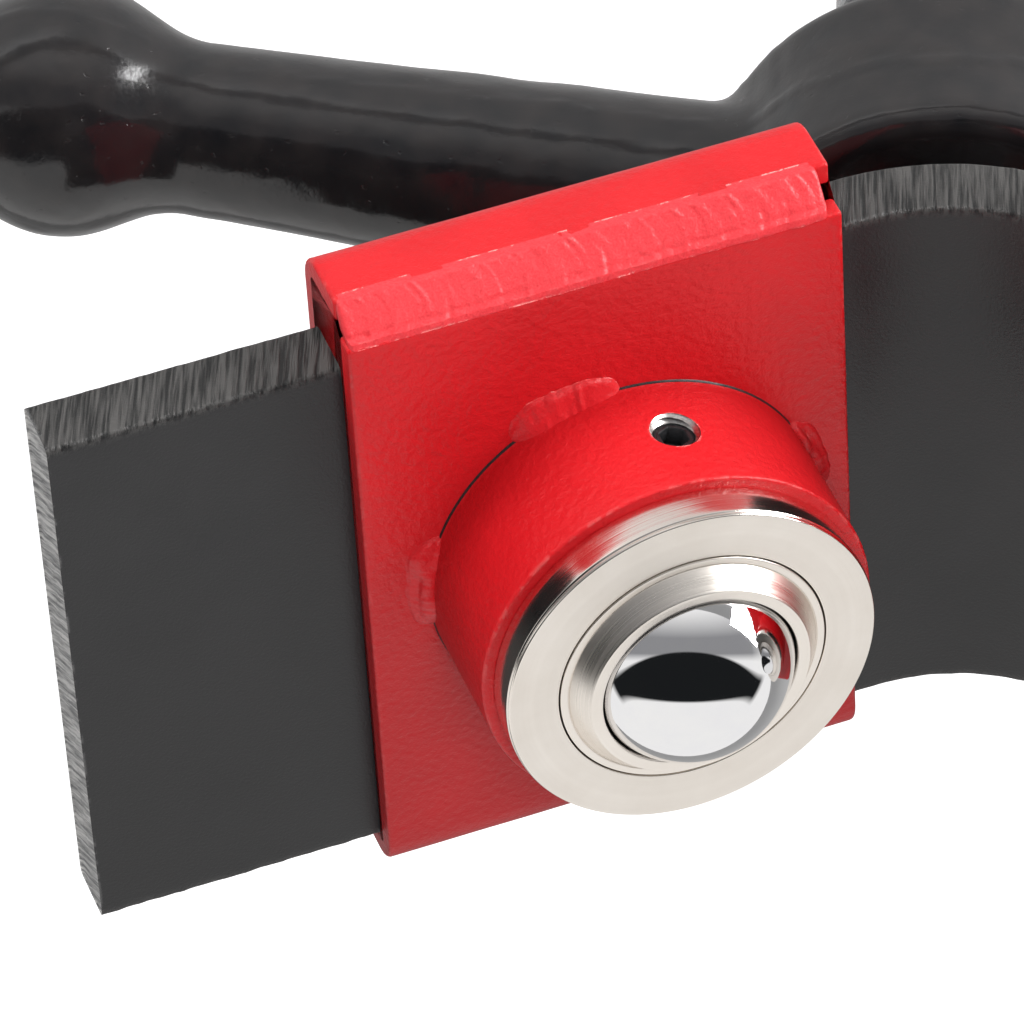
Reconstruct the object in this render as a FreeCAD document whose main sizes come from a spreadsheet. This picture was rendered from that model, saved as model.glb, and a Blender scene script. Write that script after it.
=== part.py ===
import FreeCAD, Part
import Sketcher
import math
import os
import re

# Head of a height-adjustable pipe stand: a bent-bar V saddle on a lifting screw, a handled nut,
# and two slip-on adapters that carry ball transfer units.
# Millimetres and degrees. Z runs up the screw, from its lower end. X runs across the V.
# Y runs along the pipe that the saddle carries.

SIZES = [
    # saddle bar
    ("barWidth", 76.0, "width of the saddle bar, along the pipe"),
    ("barThickness", 8.5, "thickness of the saddle bar"),
    ("bendRadius", 25.0, "inner radius of the bend at the bottom of the V"),
    ("armAngle", 22.3, "rise of each arm of the V above level"),
    ("armLength", 99.8, "straight length of each arm, from the end of the bend"),
    # lifting screw
    ("screwLength", 230.0, "length of the screw under the saddle"),
    ("screwRadius", 14.0, "outer radius of the thread"),
    ("screwChamfer", 2.0, "chamfer at the lower end of the screw"),
    ("markHeight", 28.0, "travel mark above the lower end: the screw stays in its tube up to here"),
    ("markWidth", 3.0, "width of the travel mark, a turned groove"),
    ("markDepth", 1.5, "depth of the travel mark"),
    ("headWeldLeg", 2.2, "leg of the weld between screw and saddle"),
    # handled nut and its washer
    ("nutGap", 17.8, "gap between the saddle and the boss of the nut"),
    ("threadClearance", 0.1, "radial play of nut and washer on the screw"),
    ("bossRadius", 19.5, "radius of the boss on top of the nut"),
    ("bossHeight", 0.9, "height of the boss above the hub"),
    ("hubRadius", 28.7, "radius of the hub"),
    ("hubHeight", 27.0, "height of the hub without its boss"),
    ("hubRounding", 4.0, "rounding of the hub's upper edge"),
    ("hubChamfer", 2.9, "chamfer of the hub's lower edge"),
    ("handleTurn", 6.0, "turn of the handles from the X axis at rest"),
    ("handleDroop", 7.5, "angle of the handles below level"),
    ("handleDrop", 11.1, "handle axes below the top of the boss, at the screw axis"),
    ("handleRoot", 17.0, "distance from the screw axis to the root of a handle"),
    ("handleReach", 110.6, "distance from the screw axis to the centre of a grip ball"),
    ("handleRootRadius", 13.5, "radius of a handle at its root"),
    ("handleTipRadius", 10.3, "radius of a handle at its grip ball"),
    ("gripRadius", 16.3, "radius of a grip ball"),
    ("washerRadius", 23.5, "outer radius of the thrust washer"),
    ("washerThickness", 2.5, "thickness of the thrust washer"),
    ("washerGap", 0.05, "play between nut and thrust washer"),
    # adapter: sleeve folded from one sheet
    ("sleeveStop", 3.9, "distance from the end of the bend to the sleeve, pushed up to the weld"),
    ("sleeveLength", 60.5, "length of the sleeve along the arm"),
    ("sleeveShift", 1.35, "middle of the sleeve beyond the ball unit's axis, towards the arm's end"),
    ("sheetThickness", 3.0, "thickness of the sleeve's sheet"),
    ("bendInside", 0.6, "inner radius of the sheet's bends, sharp enough to pass the bar's corners"),
    ("bendOutside", 4.6, "outer radius of the sheet's bends"),
    ("faceGap", 0.3, "gap between the bar and each broad wall of the sleeve"),
    ("footGap", 0.25, "gap between the bar's edge and the foot wall of the sleeve"),
    ("seamGap", 6.35, "gap between the bar's other edge and the seam wall"),
    ("lipStep", 1.3, "front wall's free edge below the seam wall's inner face"),
    ("lipSetback", 4.0, "seam wall's free edge behind the front face"),
    ("seamNotch", 2.4, "stretch of the seam left open at one end"),
    # adapter: pipe socket
    ("socketRise", 1.7, "axis of the ball unit from the middle of the bar, along Y"),
    ("socketFit", 0.15, "play of the ball unit's housing in the socket"),
    ("socketWall", 5.0, "wall of the pipe socket"),
    ("socketChamfer", 0.8, "chamfer of the socket's upper outer edge"),
    ("tackLeg", 4.4, "leg of the tack welds at the socket's foot"),
    ("tackSpan", 29.0, "angle that one tack weld covers"),
    ("sideTack", 0.0, "start of the tack weld towards the bend"),
    ("seamTack", 91.0, "start of the tack weld towards the seam"),
    ("endTack", 160.0, "start of the tack weld towards the arm's end"),
    ("footTack", 260.0, "start of the tack weld towards the foot wall"),
    # adapter: set screw
    ("setScrewTurn", 80.0, "direction of the set screw, from the adapter's X axis"),
    ("setScrewHeight", 8.7, "set screw's axis above the sleeve"),
    ("setScrewRadius", 3.0, "radius of the set screw"),
    ("setScrewLength", 5.0, "length of the set screw"),
    ("hexRadius", 1.73, "corner radius of the set screw's hex socket"),
    ("hexDepth", 2.6, "depth of the set screw's hex socket"),
    # ball unit, from the load ball outwards
    ("ballRadius", 12.7, "radius of the load ball"),
    ("supportRadius", 1.5875, "radius of a support ball"),
    ("supportPlay", 0.05, "play on each side of a support ball"),
    ("supportRows", 6, "rows of support balls, the lowest ball included"),
    ("cupWall", 0.525, "wall of the bearing cup beside its hollow"),
    ("cupFloor", 1.625, "floor of the bearing cup under its hollow"),
    ("housingWall", 2.5, "wall of the housing"),
    ("housingFloor", 2.0, "thickness of the housing's floor"),
    ("housingFloorGap", 1.0, "gap between the housing and the sleeve"),
    ("grooveDepth", 0.8, "depth of the groove that the set screw bears on"),
    ("grooveWidth", 6.6, "width of that groove"),
    ("flangeInset", 1.35, "edge of the flange inside the socket's outer edge"),
    ("flangeHeight", 4.93, "height of the flange, rim and bevel"),
    ("bevelHeight", 0.5, "height of the flange's bevel"),
    ("bevelWidth", 0.15, "width of the flange's bevel"),
    ("ballSink", 2.33, "centre of the load ball below the flange's face"),
    ("ballPlay", 0.25, "gap between the load ball and the cap ring"),
    ("capDepth", 5.4, "depth of the cap ring below the flange's face"),
    ("ledgeWidth", 1.2, "flat ledge of the cap ring outside its cone"),
    ("lipWidth", 1.65, "width of the cap ring's lip"),
    ("lipHeight", 2.67, "height of the lip above the flange's face"),
    ("sealDepth", 3.1, "bottom of the seal's groove below the flange's face"),
    ("sealHeight", 3.0, "height of the seal's groove"),
    ("sealWidth", 1.65, "depth of the seal's groove into the cap ring"),
    ("sealPlay", 0.1, "play of the felt seal all round"),
]

os.makedirs("parts", exist_ok=True)
doc = FreeCAD.newDocument("PipeStandHead")
sheet = doc.addObject("Spreadsheet::Sheet", "Sizes")
for row, (alias, number, note) in enumerate(SIZES, start=1):
    sheet.set(f"A{row}", note)
    sheet.set(f"B{row}", str(number))
    sheet.setAlias(f"B{row}", alias)
doc.recompute()

ALIASES = {alias for alias, number, note in SIZES}

# Levels of the saddle and nut, above the screw's lower end.
SADDLE = "(screwLength + barThickness)"
BOSS_TOP = "(screwLength - nutGap)"
HUB_TOP = f"({BOSS_TOP} - bossHeight)"
HUB_BOTTOM = f"({HUB_TOP} - hubHeight)"
HANDLE_LEVEL = f"({BOSS_TOP} - handleDrop)"

# Radii of the ball unit and its socket, each from what it holds.
CUP_HOLLOW = "(ballRadius + 2 * (supportRadius + supportPlay))"
CUP_RADIUS = f"({CUP_HOLLOW} + cupWall)"
HOUSING_RADIUS = f"({CUP_RADIUS} + housingWall)"
GROOVE_RADIUS = f"({HOUSING_RADIUS} - grooveDepth)"
SOCKET_BORE = f"({HOUSING_RADIUS} + socketFit)"
SOCKET_RADIUS = f"({SOCKET_BORE} + socketWall)"
FLANGE_RADIUS = f"({SOCKET_RADIUS} - flangeInset)"
CAP_HOLLOW = "(ballRadius + ballPlay)"
LIP_RADIUS = f"(sqrt({CAP_HOLLOW}^2 - (ballSink + lipHeight)^2) + lipWidth)"
SEAL_RADIUS = f"({CAP_HOLLOW} + sealWidth)"

# Heights in an adapter's own frame, above the saddle bar's inner face.
SLEEVE_FACE = "(faceGap + sheetThickness)"
SET_SCREW_LEVEL = f"({SLEEVE_FACE} + setScrewHeight)"
HOUSING_BASE = f"({SLEEVE_FACE} + housingFloorGap)"
CUP_BASE = f"({HOUSING_BASE} + housingFloor)"
BALL_LEVEL = f"({CUP_BASE} + cupFloor + {CUP_HOLLOW})"
FLANGE_FACE = f"({BALL_LEVEL} + ballSink)"
CAP_BASE = f"({FLANGE_FACE} - capDepth)"
SOCKET_TOP = f"({FLANGE_FACE} - flangeHeight)"

# Lower end of the sleeve along an adapter's own X, and where the adapter's axis stands on the arm.
SLEEVE_START = "(-sleeveShift - sleeveLength / 2)"
BALL_STATION = "(sleeveStop + sleeveLength / 2 - sleeveShift)"


def formula(text):
    """The text with each size's name turned into a reference to the sheet."""
    return re.sub(r"[A-Za-z]+", lambda word: f"Sizes.{word[0]}" if word[0] in ALIASES else word[0], str(text))


def value(text):
    """What the formula comes to with the present sizes."""
    return float(sheet.evalExpression(formula(text)))


def bind(thing, **formulas):
    """Ties properties of a document object to formulas of the sheet."""
    for name, text in formulas.items():
        thing.setExpression(name, formula(text))
    return thing


def place(thing, x, y, z, yaw="0", pitch="0"):
    """Ties an object's Placement to formulas: a position, a turn about Z and before it a tilt about Y."""
    base = f"create(<<vector>>; {formula(x)}; {formula(y)}; {formula(z)})"
    turn = f"create(<<rotation>>; {formula(yaw)}; {formula(pitch)}; 0)"
    thing.setExpression("Placement", f"create(<<placement>>; {base}; {turn})")
    return thing


def cylinder(name, radius, height, **more):
    """A cylinder that stands on its own origin."""
    return bind(doc.addObject("Part::Cylinder", name), Radius=radius, Height=height, **more)


def sphere(name, radius):
    """A ball about its own origin."""
    return bind(doc.addObject("Part::Sphere", name), Radius=radius)


def cut(name, base, tool):
    """The base less the tool."""
    result = doc.addObject("Part::Cut", name)
    result.Base = base
    result.Tool = tool
    return result


def fuse(name, shapes):
    """All shapes as one solid."""
    result = doc.addObject("Part::MultiFuse", name)
    result.Shapes = shapes
    return result


def locate(sketch, edge, point, x, y):
    """Ties one end of a sketched edge to formulas, measured from the sketch's origin."""
    for kind, axis, text in (("DistanceX", -2, x), ("DistanceY", -1, y)):
        if text == "0":
            sketch.addConstraint(Sketcher.Constraint("PointOnObject", edge, point, axis))
            continue
        index = sketch.addConstraint(Sketcher.Constraint(kind, -1, 1, edge, point, value(text)))
        sketch.setExpression(f"Constraints[{index}]", formula(text))


def outline(body, plane, corners):
    """A closed outline on one of the body's origin planes.

    Each corner is (x, y), or (x, y, radius, side) where the edge that leaves it is an arc. The side
    is +1 where the arc bulges to the right of its way, and -1 to the left.
    """
    sketch = body.newObject("Sketcher::SketchObject", body.Name + "_outline")
    origin_plane = [feature for feature in body.Origin.OriginFeatures if feature.Role == plane][0]
    sketch.AttachmentSupport = [(origin_plane, "")]
    sketch.MapMode = "FlatFace"
    points = [FreeCAD.Vector(value(corner[0]), value(corner[1]), 0) for corner in corners]
    for index, corner in enumerate(corners):
        start = points[index]
        end = points[(index + 1) % len(points)]
        if len(corner) == 2:
            sketch.addGeometry(Part.LineSegment(start, end))
            continue
        chord = end - start
        radius = value(corner[2])
        rise = radius - math.sqrt(radius ** 2 - (chord.Length / 2) ** 2)
        across = FreeCAD.Vector(chord.y, -chord.x, 0).normalize()
        sketch.addGeometry(Part.Arc(start, (start + end) / 2 + across * rise * corner[3], end))
    for index, corner in enumerate(corners):
        arc = len(corner) > 2
        # An arc runs anticlockwise in the sketcher, so one that bulges left has its ends swapped.
        starts_at = 2 if arc and corner[3] < 0 else 1
        locate(sketch, index, starts_at, corner[0], corner[1])
        after = (index + 1) % len(corners)
        after_arc = len(corners[after]) > 2
        after_starts_at = 2 if after_arc and corners[after][3] < 0 else 1
        sketch.addConstraint(Sketcher.Constraint("Coincident", index, 3 - starts_at, after, after_starts_at))
        if arc:
            radius = sketch.addConstraint(Sketcher.Constraint("Radius", index, value(corner[2])))
            sketch.setExpression(f"Constraints[{radius}]", formula(corner[2]))
    doc.recompute()
    return sketch


def turned(name, corners):
    """A body turned about Z from an outline of (radius, height) corners."""
    body = doc.addObject("PartDesign::Body", name)
    sketch = outline(body, "XZ_Plane", corners)
    turn = body.newObject("PartDesign::Revolution", name + "_turn")
    turn.Profile = sketch
    turn.ReferenceAxis = (sketch, ["V_Axis"])
    turn.Angle = 360
    sketch.Visibility = False
    return body


def extruded(name, plane, corners, start, length):
    """A body pushed out from an outline, from start, over length, square to the plane."""
    body = doc.addObject("PartDesign::Body", name)
    sketch = outline(body, plane, corners)
    sketch.setExpression(".AttachmentOffset.Base.z", formula(start))
    pad = body.newObject("PartDesign::Pad", name + "_pad")
    pad.Profile = sketch
    pad.setExpression("Length", formula(length))
    doc.recompute()
    return body


subparts = []


def finished(thing, label):
    """Takes an object as a sub-part, under the name of its node."""
    thing.Label = label
    subparts.append(thing)
    return thing


# ---------------------------------------------------------------- saddle, screw and handled nut

def saddle_bar():
    """The flat bar bent to a V: two straight arms joined by a bend about Y."""
    reach = "(bendRadius * sin(armAngle) + armLength * cos(armAngle))"
    end_rise = "(bendRadius * (1 - cos(armAngle)) + armLength * sin(armAngle))"
    under_reach = f"({reach} + barThickness * sin(armAngle))"
    under_rise = f"({end_rise} - barThickness * cos(armAngle))"
    bend_reach = "(bendRadius * sin(armAngle))"
    bend_rise = "(bendRadius * (1 - cos(armAngle)))"
    outer_bend = "(bendRadius + barThickness)"
    outer_reach = f"({outer_bend} * sin(armAngle))"
    outer_rise = f"(bendRadius - {outer_bend} * cos(armAngle))"
    corners = [
        (f"-{under_reach}", f"{SADDLE} + {under_rise}"),
        (f"-{outer_reach}", f"{SADDLE} + {outer_rise}", outer_bend, 1),
        (outer_reach, f"{SADDLE} + {outer_rise}"),
        (under_reach, f"{SADDLE} + {under_rise}"),
        (reach, f"{SADDLE} + {end_rise}"),
        (bend_reach, f"{SADDLE} + {bend_rise}", "bendRadius", -1),
        (f"-{bend_reach}", f"{SADDLE} + {bend_rise}"),
        (f"-{reach}", f"{SADDLE} + {end_rise}"),
    ]
    return extruded("SaddleBar", "XZ_Plane", corners, "-barWidth / 2", "barWidth")


def lifting_screw(bar):
    """The screw at its outer thread diameter, coped at the top to the underside of the bend."""
    blank = turned("ScrewBlank", [
        ("0", "0"),
        ("screwRadius - screwChamfer", "0"),
        ("screwRadius", "screwChamfer"),
        ("screwRadius", "markHeight"),
        ("screwRadius - markDepth", "markHeight"),
        ("screwRadius - markDepth", "markHeight + markWidth"),
        ("screwRadius", "markHeight + markWidth"),
        ("screwRadius", "screwLength + barThickness / 2"),
        ("0", "screwLength + barThickness / 2"),
    ])
    return cut("LiftingScrew", blank, bar)


def head_weld(bar):
    """The weld round the top of the screw, which fills the gap under the bend."""
    blank = turned("HeadWeldBlank", [
        ("screwRadius / 2", "screwLength - headWeldLeg"),
        ("screwRadius", "screwLength - headWeldLeg"),
        ("screwRadius + headWeldLeg", "screwLength"),
        ("screwRadius + headWeldLeg", "screwLength + barThickness * 0.75"),
        ("screwRadius / 2", "screwLength + barThickness * 0.75"),
    ])
    without_screw = cut("HeadWeldRing", blank, cylinder("HeadWeldCore", "screwRadius", "2 * screwLength"))
    return cut("HeadWeld", without_screw, bar)


def handled_nut():
    """The cast nut: a hub with a boss, and two opposite handles that end in balls."""
    hub = turned("Hub", [
        ("screwRadius / 2", HUB_BOTTOM),
        ("hubRadius - hubChamfer", HUB_BOTTOM),
        ("hubRadius", f"{HUB_BOTTOM} + hubChamfer"),
        ("hubRadius", f"{HUB_TOP} - hubRounding", "hubRounding", 1),
        ("hubRadius - hubRounding", HUB_TOP),
        ("bossRadius", BOSS_TOP),
        ("screwRadius / 2", BOSS_TOP),
    ])
    pieces = [hub]
    for number, facing in enumerate((180, 0), start=1):
        yaw = f"({facing} - handleTurn)"
        pitch = "(90 + handleDroop)"
        rod = bind(doc.addObject("Part::Cone", f"Handle{number}"), Radius1="handleRootRadius",
                   Radius2="handleTipRadius", Height="handleReach - handleRoot")
        ball = sphere(f"GripBall{number}", "gripRadius")
        for piece, distance in ((rod, "handleRoot"), (ball, "handleReach")):
            out = f"{distance} * cos(handleDroop)"
            place(piece, f"{out} * cos({yaw})", f"{out} * sin({yaw})",
                  f"{HANDLE_LEVEL} - {distance} * sin(handleDroop)", yaw, pitch)
            pieces.append(piece)
    casting = fuse("NutCasting", pieces)
    bore = cylinder("NutBore", "screwRadius + threadClearance", "screwLength")
    return cut("HandledNut", casting, bore)


def thrust_washer():
    """The washer under the nut, which bears on the stand tube."""
    disc = cylinder("WasherDisc", "washerRadius", "washerThickness")
    hole = cylinder("WasherHole", "screwRadius + threadClearance", "washerThickness")
    washer = cut("ThrustWasher", disc, hole)
    return place(washer, "0", "0", f"{HUB_BOTTOM} - washerGap - washerThickness")


# ---------------------------------------------------------------- adapters
# An adapter's own frame: Z stands square on the arm's inner face, X points down the arm to the bend,
# and Y runs along the carried pipe. The right adapter is the left one turned half round the screw.

def sleeve(side):
    """The sleeve: one sheet folded round the bar, open along its seam."""
    foot = "(barWidth / 2 + footGap)"
    seam = "(barWidth / 2 + seamGap)"
    back = "(barThickness + faceGap)"
    corners = [
        (f"-({foot} + sheetThickness)", f"-({back} + sheetThickness)"),
        (f"{seam} + sheetThickness", f"-({back} + sheetThickness)"),
        (f"{seam} + sheetThickness", f"{SLEEVE_FACE} - lipSetback"),
        (seam, f"{SLEEVE_FACE} - lipSetback"),
        (seam, f"-{back}"),
        (f"-{foot}", f"-{back}"),
        (f"-{foot}", "faceGap"),
        (f"{seam} - lipStep", "faceGap"),
        (f"{seam} - lipStep", SLEEVE_FACE),
        (f"-({foot} + sheetThickness)", SLEEVE_FACE),
    ]
    body = extruded(f"{side}Sleeve", "YZ_Plane", corners, SLEEVE_START, "sleeveLength")
    bends = [("Inner", "bendInside", (4, 5, 6)), ("Outer", "bendOutside", (0, 1, 9))]
    for name, radius, bent in bends:
        base = body.Tip
        fillet = body.newObject("PartDesign::Fillet", f"{side}{name}Bends")
        fillet.Base = (base, [edge_along_x(base.Shape, corners[corner]) for corner in bent])
        fillet.setExpression("Radius", formula(radius))
        body.Tip = fillet
        doc.recompute()
    return body


def edge_along_x(shape, corner):
    """The name of the straight edge along X at a (y, z) corner."""
    spot = (value(corner[0]), value(corner[1]))
    for index, edge in enumerate(shape.Edges, start=1):
        ends = [vertex.Point for vertex in edge.Vertexes]
        if len(ends) == 2 and all(math.dist((end.y, end.z), spot) < 1e-4 for end in ends):
            return f"Edge{index}"
    raise ValueError(f"no edge along X at {corner}")


def seam_weld(side):
    """The weld that closes the corner between the sleeve's two free edges."""
    seam = "(barWidth / 2 + seamGap)"
    corners = [
        (seam, f"{SLEEVE_FACE} - lipSetback"),
        (f"{seam} + sheetThickness", f"{SLEEVE_FACE} - lipSetback"),
        (f"{seam} - lipStep", SLEEVE_FACE),
        (f"{seam} - lipStep", "faceGap"),
    ]
    return extruded(f"{side}SeamWeld", "YZ_Plane", corners, SLEEVE_START, "sleeveLength - seamNotch")


def radial(thing, distance):
    """Lays an upright piece along the set screw's line, its foot at a distance from the ball unit's axis."""
    return place(thing, f"{distance} * cos(setScrewTurn)", f"socketRise + {distance} * sin(setScrewTurn)",
                 SET_SCREW_LEVEL, "setScrewTurn", "90")


def on_axis(thing, height):
    """Stands a piece on the ball unit's axis at a height."""
    return place(thing, "0", "socketRise", height)


def socket_tube(side):
    """The pipe socket, with the threaded hole for the set screw through one wall."""
    pipe = turned(f"{side}SocketPipe", [
        (SOCKET_BORE, SLEEVE_FACE),
        (SOCKET_RADIUS, SLEEVE_FACE),
        (SOCKET_RADIUS, f"{SOCKET_TOP} - socketChamfer"),
        (f"{SOCKET_RADIUS} - socketChamfer", SOCKET_TOP),
        (SOCKET_BORE, SOCKET_TOP),
    ])
    on_axis(pipe, "0")
    hole = radial(cylinder(f"{side}ScrewHole", "setScrewRadius", SOCKET_RADIUS), f"{SOCKET_BORE} / 2")
    return cut(f"{side}SocketTube", pipe, hole)


def socket_welds(side):
    """Four tack welds at the foot of the socket."""
    tacks = []
    for start in ("sideTack", "seamTack", "endTack", "footTack"):
        cone = bind(doc.addObject("Part::Cone", f"{side}{start}Cone"), Radius1=f"{SOCKET_RADIUS} + tackLeg",
                    Radius2=SOCKET_RADIUS, Height="tackLeg", Angle="tackSpan")
        core = cylinder(f"{side}{start}Core", SOCKET_RADIUS, "tackLeg")
        tack = cut(f"{side}{start}", cone, core)
        place(tack, "0", "socketRise", SLEEVE_FACE, start)
        tacks.append(tack)
    group = doc.addObject("Part::Compound", f"{side}SocketWelds")
    group.Links = tacks
    return group


def set_screw(side):
    """The headless set screw, with a hex socket in its outer end."""
    shank = radial(cylinder(f"{side}SetScrewShank", "setScrewRadius", "setScrewLength"), GROOVE_RADIUS)
    hexagon = bind(doc.addObject("Part::Prism", f"{side}HexSocket"), Circumradius="hexRadius",
                   Height="setScrewLength")
    hexagon.Polygon = 6
    radial(hexagon, f"({GROOVE_RADIUS} + setScrewLength - hexDepth)")
    return cut(f"{side}SetScrew", shank, hexagon)


def ball_housing(side):
    """The flanged housing, with a groove for the set screw and a bore for cup and cap ring."""
    return turned(f"{side}BallHousing", [
        ("0", HOUSING_BASE),
        (HOUSING_RADIUS, HOUSING_BASE),
        (HOUSING_RADIUS, f"{SET_SCREW_LEVEL} - grooveWidth / 2"),
        (GROOVE_RADIUS, f"{SET_SCREW_LEVEL} - grooveWidth / 2"),
        (GROOVE_RADIUS, f"{SET_SCREW_LEVEL} + grooveWidth / 2"),
        (HOUSING_RADIUS, f"{SET_SCREW_LEVEL} + grooveWidth / 2"),
        (HOUSING_RADIUS, SOCKET_TOP),
        (FLANGE_RADIUS, SOCKET_TOP),
        (FLANGE_RADIUS, f"{FLANGE_FACE} - bevelHeight"),
        (f"{FLANGE_RADIUS} - bevelWidth", FLANGE_FACE),
        (CUP_RADIUS, FLANGE_FACE),
        (CUP_RADIUS, CUP_BASE),
        ("0", CUP_BASE),
    ])


def bearing_cup(side):
    """The hardened cup whose hollow carries the support balls."""
    blank = on_axis(cylinder(f"{side}CupBlank", CUP_RADIUS, f"{CAP_BASE} - {CUP_BASE}"), CUP_BASE)
    hollow = on_axis(sphere(f"{side}CupHollow", CUP_HOLLOW), BALL_LEVEL)
    return cut(f"{side}BearingCup", blank, hollow)


def cap_ring(side):
    """The ring pressed into the housing over the ball, with a groove inside for the seal."""
    blank = turned(f"{side}CapBlank", [
        ("0", CAP_BASE),
        (CUP_RADIUS, CAP_BASE),
        (CUP_RADIUS, FLANGE_FACE),
        (f"{CUP_RADIUS} - ledgeWidth", FLANGE_FACE),
        (LIP_RADIUS, f"{FLANGE_FACE} + lipHeight"),
        ("0", f"{FLANGE_FACE} + lipHeight"),
    ])
    on_axis(blank, "0")
    over_ball = on_axis(sphere(f"{side}CapHollow", CAP_HOLLOW), BALL_LEVEL)
    below_ball = on_axis(cylinder(f"{side}CapThroat", CAP_HOLLOW, "capDepth"), f"{BALL_LEVEL} - capDepth")
    groove = on_axis(cylinder(f"{side}SealGroove", SEAL_RADIUS, "sealHeight"), f"{FLANGE_FACE} - sealDepth")
    return cut(f"{side}CapRing", blank, fuse(f"{side}CapTools", [over_ball, below_ball, groove]))


def felt_seal(side):
    """The felt ring that wipes the ball."""
    disc = cylinder(f"{side}FeltDisc", f"{SEAL_RADIUS} - sealPlay", "sealHeight - 2 * sealPlay")
    on_axis(disc, f"{FLANGE_FACE} - sealDepth + sealPlay")
    hollow = on_axis(sphere(f"{side}FeltHollow", "ballRadius + sealPlay"), BALL_LEVEL)
    return cut(f"{side}FeltSeal", disc, hollow)


def load_ball(side):
    """The large ball that carries the pipe."""
    return sphere(f"{side}LoadBall", "ballRadius")


def support_balls(side):
    """The small balls, in rows round the lower half of the load ball.

    Rows stand one ball apart up the cup, and each row holds as many balls as fit round it.
    """
    radius = value("supportRadius")
    pitch_radius = value("ballRadius + supportRadius + supportPlay")
    spacing = 2 * (radius + value("supportPlay"))
    row_step = 2 * math.asin(spacing / 2 / pitch_radius)
    centre = FreeCAD.Vector(0, value("socketRise"), value(BALL_LEVEL))
    balls = []
    for row in range(round(value("supportRows"))):
        slope = row * row_step
        row_radius = pitch_radius * math.sin(slope)
        count = 1
        if row:
            count = int(math.pi / math.asin(spacing / 2 / row_radius))
        for number in range(count):
            turn = 2 * math.pi * number / count
            offset = FreeCAD.Vector(row_radius * math.cos(turn), row_radius * math.sin(turn),
                                    -pitch_radius * math.cos(slope))
            balls.append(Part.makeSphere(radius, centre + offset))
    group = doc.addObject("Part::Feature", f"{side}SupportBalls")
    group.Shape = Part.makeCompound(balls)
    return group


def onto_arm(thing, side, rise="0", height="0"):
    """Places a piece from the adapter's own frame onto its arm, raised in that frame if it has to be."""
    hand, yaw = ("-", "0") if side == "Left" else ("", "180")
    along = f"(bendRadius * sin(armAngle) + {BALL_STATION} * cos(armAngle) - {height} * sin(armAngle))"
    slope = f"bendRadius * (1 - cos(armAngle)) + {BALL_STATION} * sin(armAngle)"
    up = f"{SADDLE} + {slope} + {height} * cos(armAngle)"
    across = rise if side == "Left" else f"-{rise}"
    return place(thing, f"{hand}{along}", across, up, yaw, "armAngle")


bar = finished(saddle_bar(), "v_bar")
finished(lifting_screw(bar), "acme_screw")
finished(head_weld(bar), "head_weld")
finished(thrust_washer(), "thrust_washer")
finished(handled_nut(), "handle_nut")

# Each piece of an adapter, with its origin's rise along Y and height in the adapter's frame.
ADAPTER = [
    (sleeve, "sleeve", "0", "0"),
    (seam_weld, "seam_weld", "0", "0"),
    (socket_tube, "socket_tube", "0", "0"),
    (socket_welds, "socket_welds", "0", "0"),
    (set_screw, "set_screw", "0", "0"),
    (ball_housing, "ball_housing", "socketRise", "0"),
    (bearing_cup, "bearing_cup", "0", "0"),
    (support_balls, "support_balls", "0", "0"),
    (load_ball, "load_ball", "socketRise", BALL_LEVEL),
    (cap_ring, "cap_ring", "0", "0"),
    (felt_seal, "felt_seal", "0", "0"),
]
for side in ("Left", "Right"):
    for make, piece, rise, height in ADAPTER:
        finished(onto_arm(make(side), side, rise, height), f"{side.lower()}_{piece}")

doc.recompute()

# Nothing is written unless every object of the document is sound.
for thing in doc.Objects:
    if "Invalid" in thing.State or "Error" in thing.State:
        raise RuntimeError(f"{thing.Label} failed: {thing.State}")
for thing in subparts:
    if thing.Shape.isNull() or not thing.Shape.isValid() or not thing.Shape.Solids:
        raise RuntimeError(f"{thing.Label} has no sound shape")
for thing in subparts:
    thing.Shape.exportStep(f"parts/{thing.Label}.step")
    print(f"{thing.Label:24s} solids {len(thing.Shape.Solids):3d}  volume {thing.Shape.Volume:10.1f} mm3")
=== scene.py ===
# %% [markdown]
# The head of a pipe stand, seen close up. A bent flat bar makes a V on top of a threaded screw, and a red
# sleeve sits on each arm of the V. Every sleeve carries a large steel ball that a pipe rolls on. This
# lesson takes the measured frame of the part and gives each piece its real surface and finish.

# %% Load the measured frame
import itertools
import math
import bmesh
import bpy
import numpy as np
from mathutils import Matrix


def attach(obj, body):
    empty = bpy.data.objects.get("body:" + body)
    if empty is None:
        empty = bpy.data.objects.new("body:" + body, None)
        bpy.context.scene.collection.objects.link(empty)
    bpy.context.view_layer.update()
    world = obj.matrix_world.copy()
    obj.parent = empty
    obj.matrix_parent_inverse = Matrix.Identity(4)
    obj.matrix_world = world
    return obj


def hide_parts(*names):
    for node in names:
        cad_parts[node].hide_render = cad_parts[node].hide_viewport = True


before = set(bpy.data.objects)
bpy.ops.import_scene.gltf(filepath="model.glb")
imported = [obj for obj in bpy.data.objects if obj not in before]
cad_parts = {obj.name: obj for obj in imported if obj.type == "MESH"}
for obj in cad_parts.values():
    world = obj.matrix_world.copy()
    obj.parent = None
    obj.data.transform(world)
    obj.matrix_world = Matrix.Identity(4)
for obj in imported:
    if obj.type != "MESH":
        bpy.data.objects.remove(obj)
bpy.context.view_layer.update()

# %% [markdown]
# Sizes are in millimetres, as a maker would say them, and become metres when a mesh is made. The arms of
# the V rise at 22.3 degrees. A sleeve and all that it carries is easiest to draw in a frame of its own, on
# the inner face of the left arm: X runs down the arm to the bend, Y is the bar's width, Z leaves the face.
# The right sleeve is the same thing turned half round about the screw.

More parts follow.
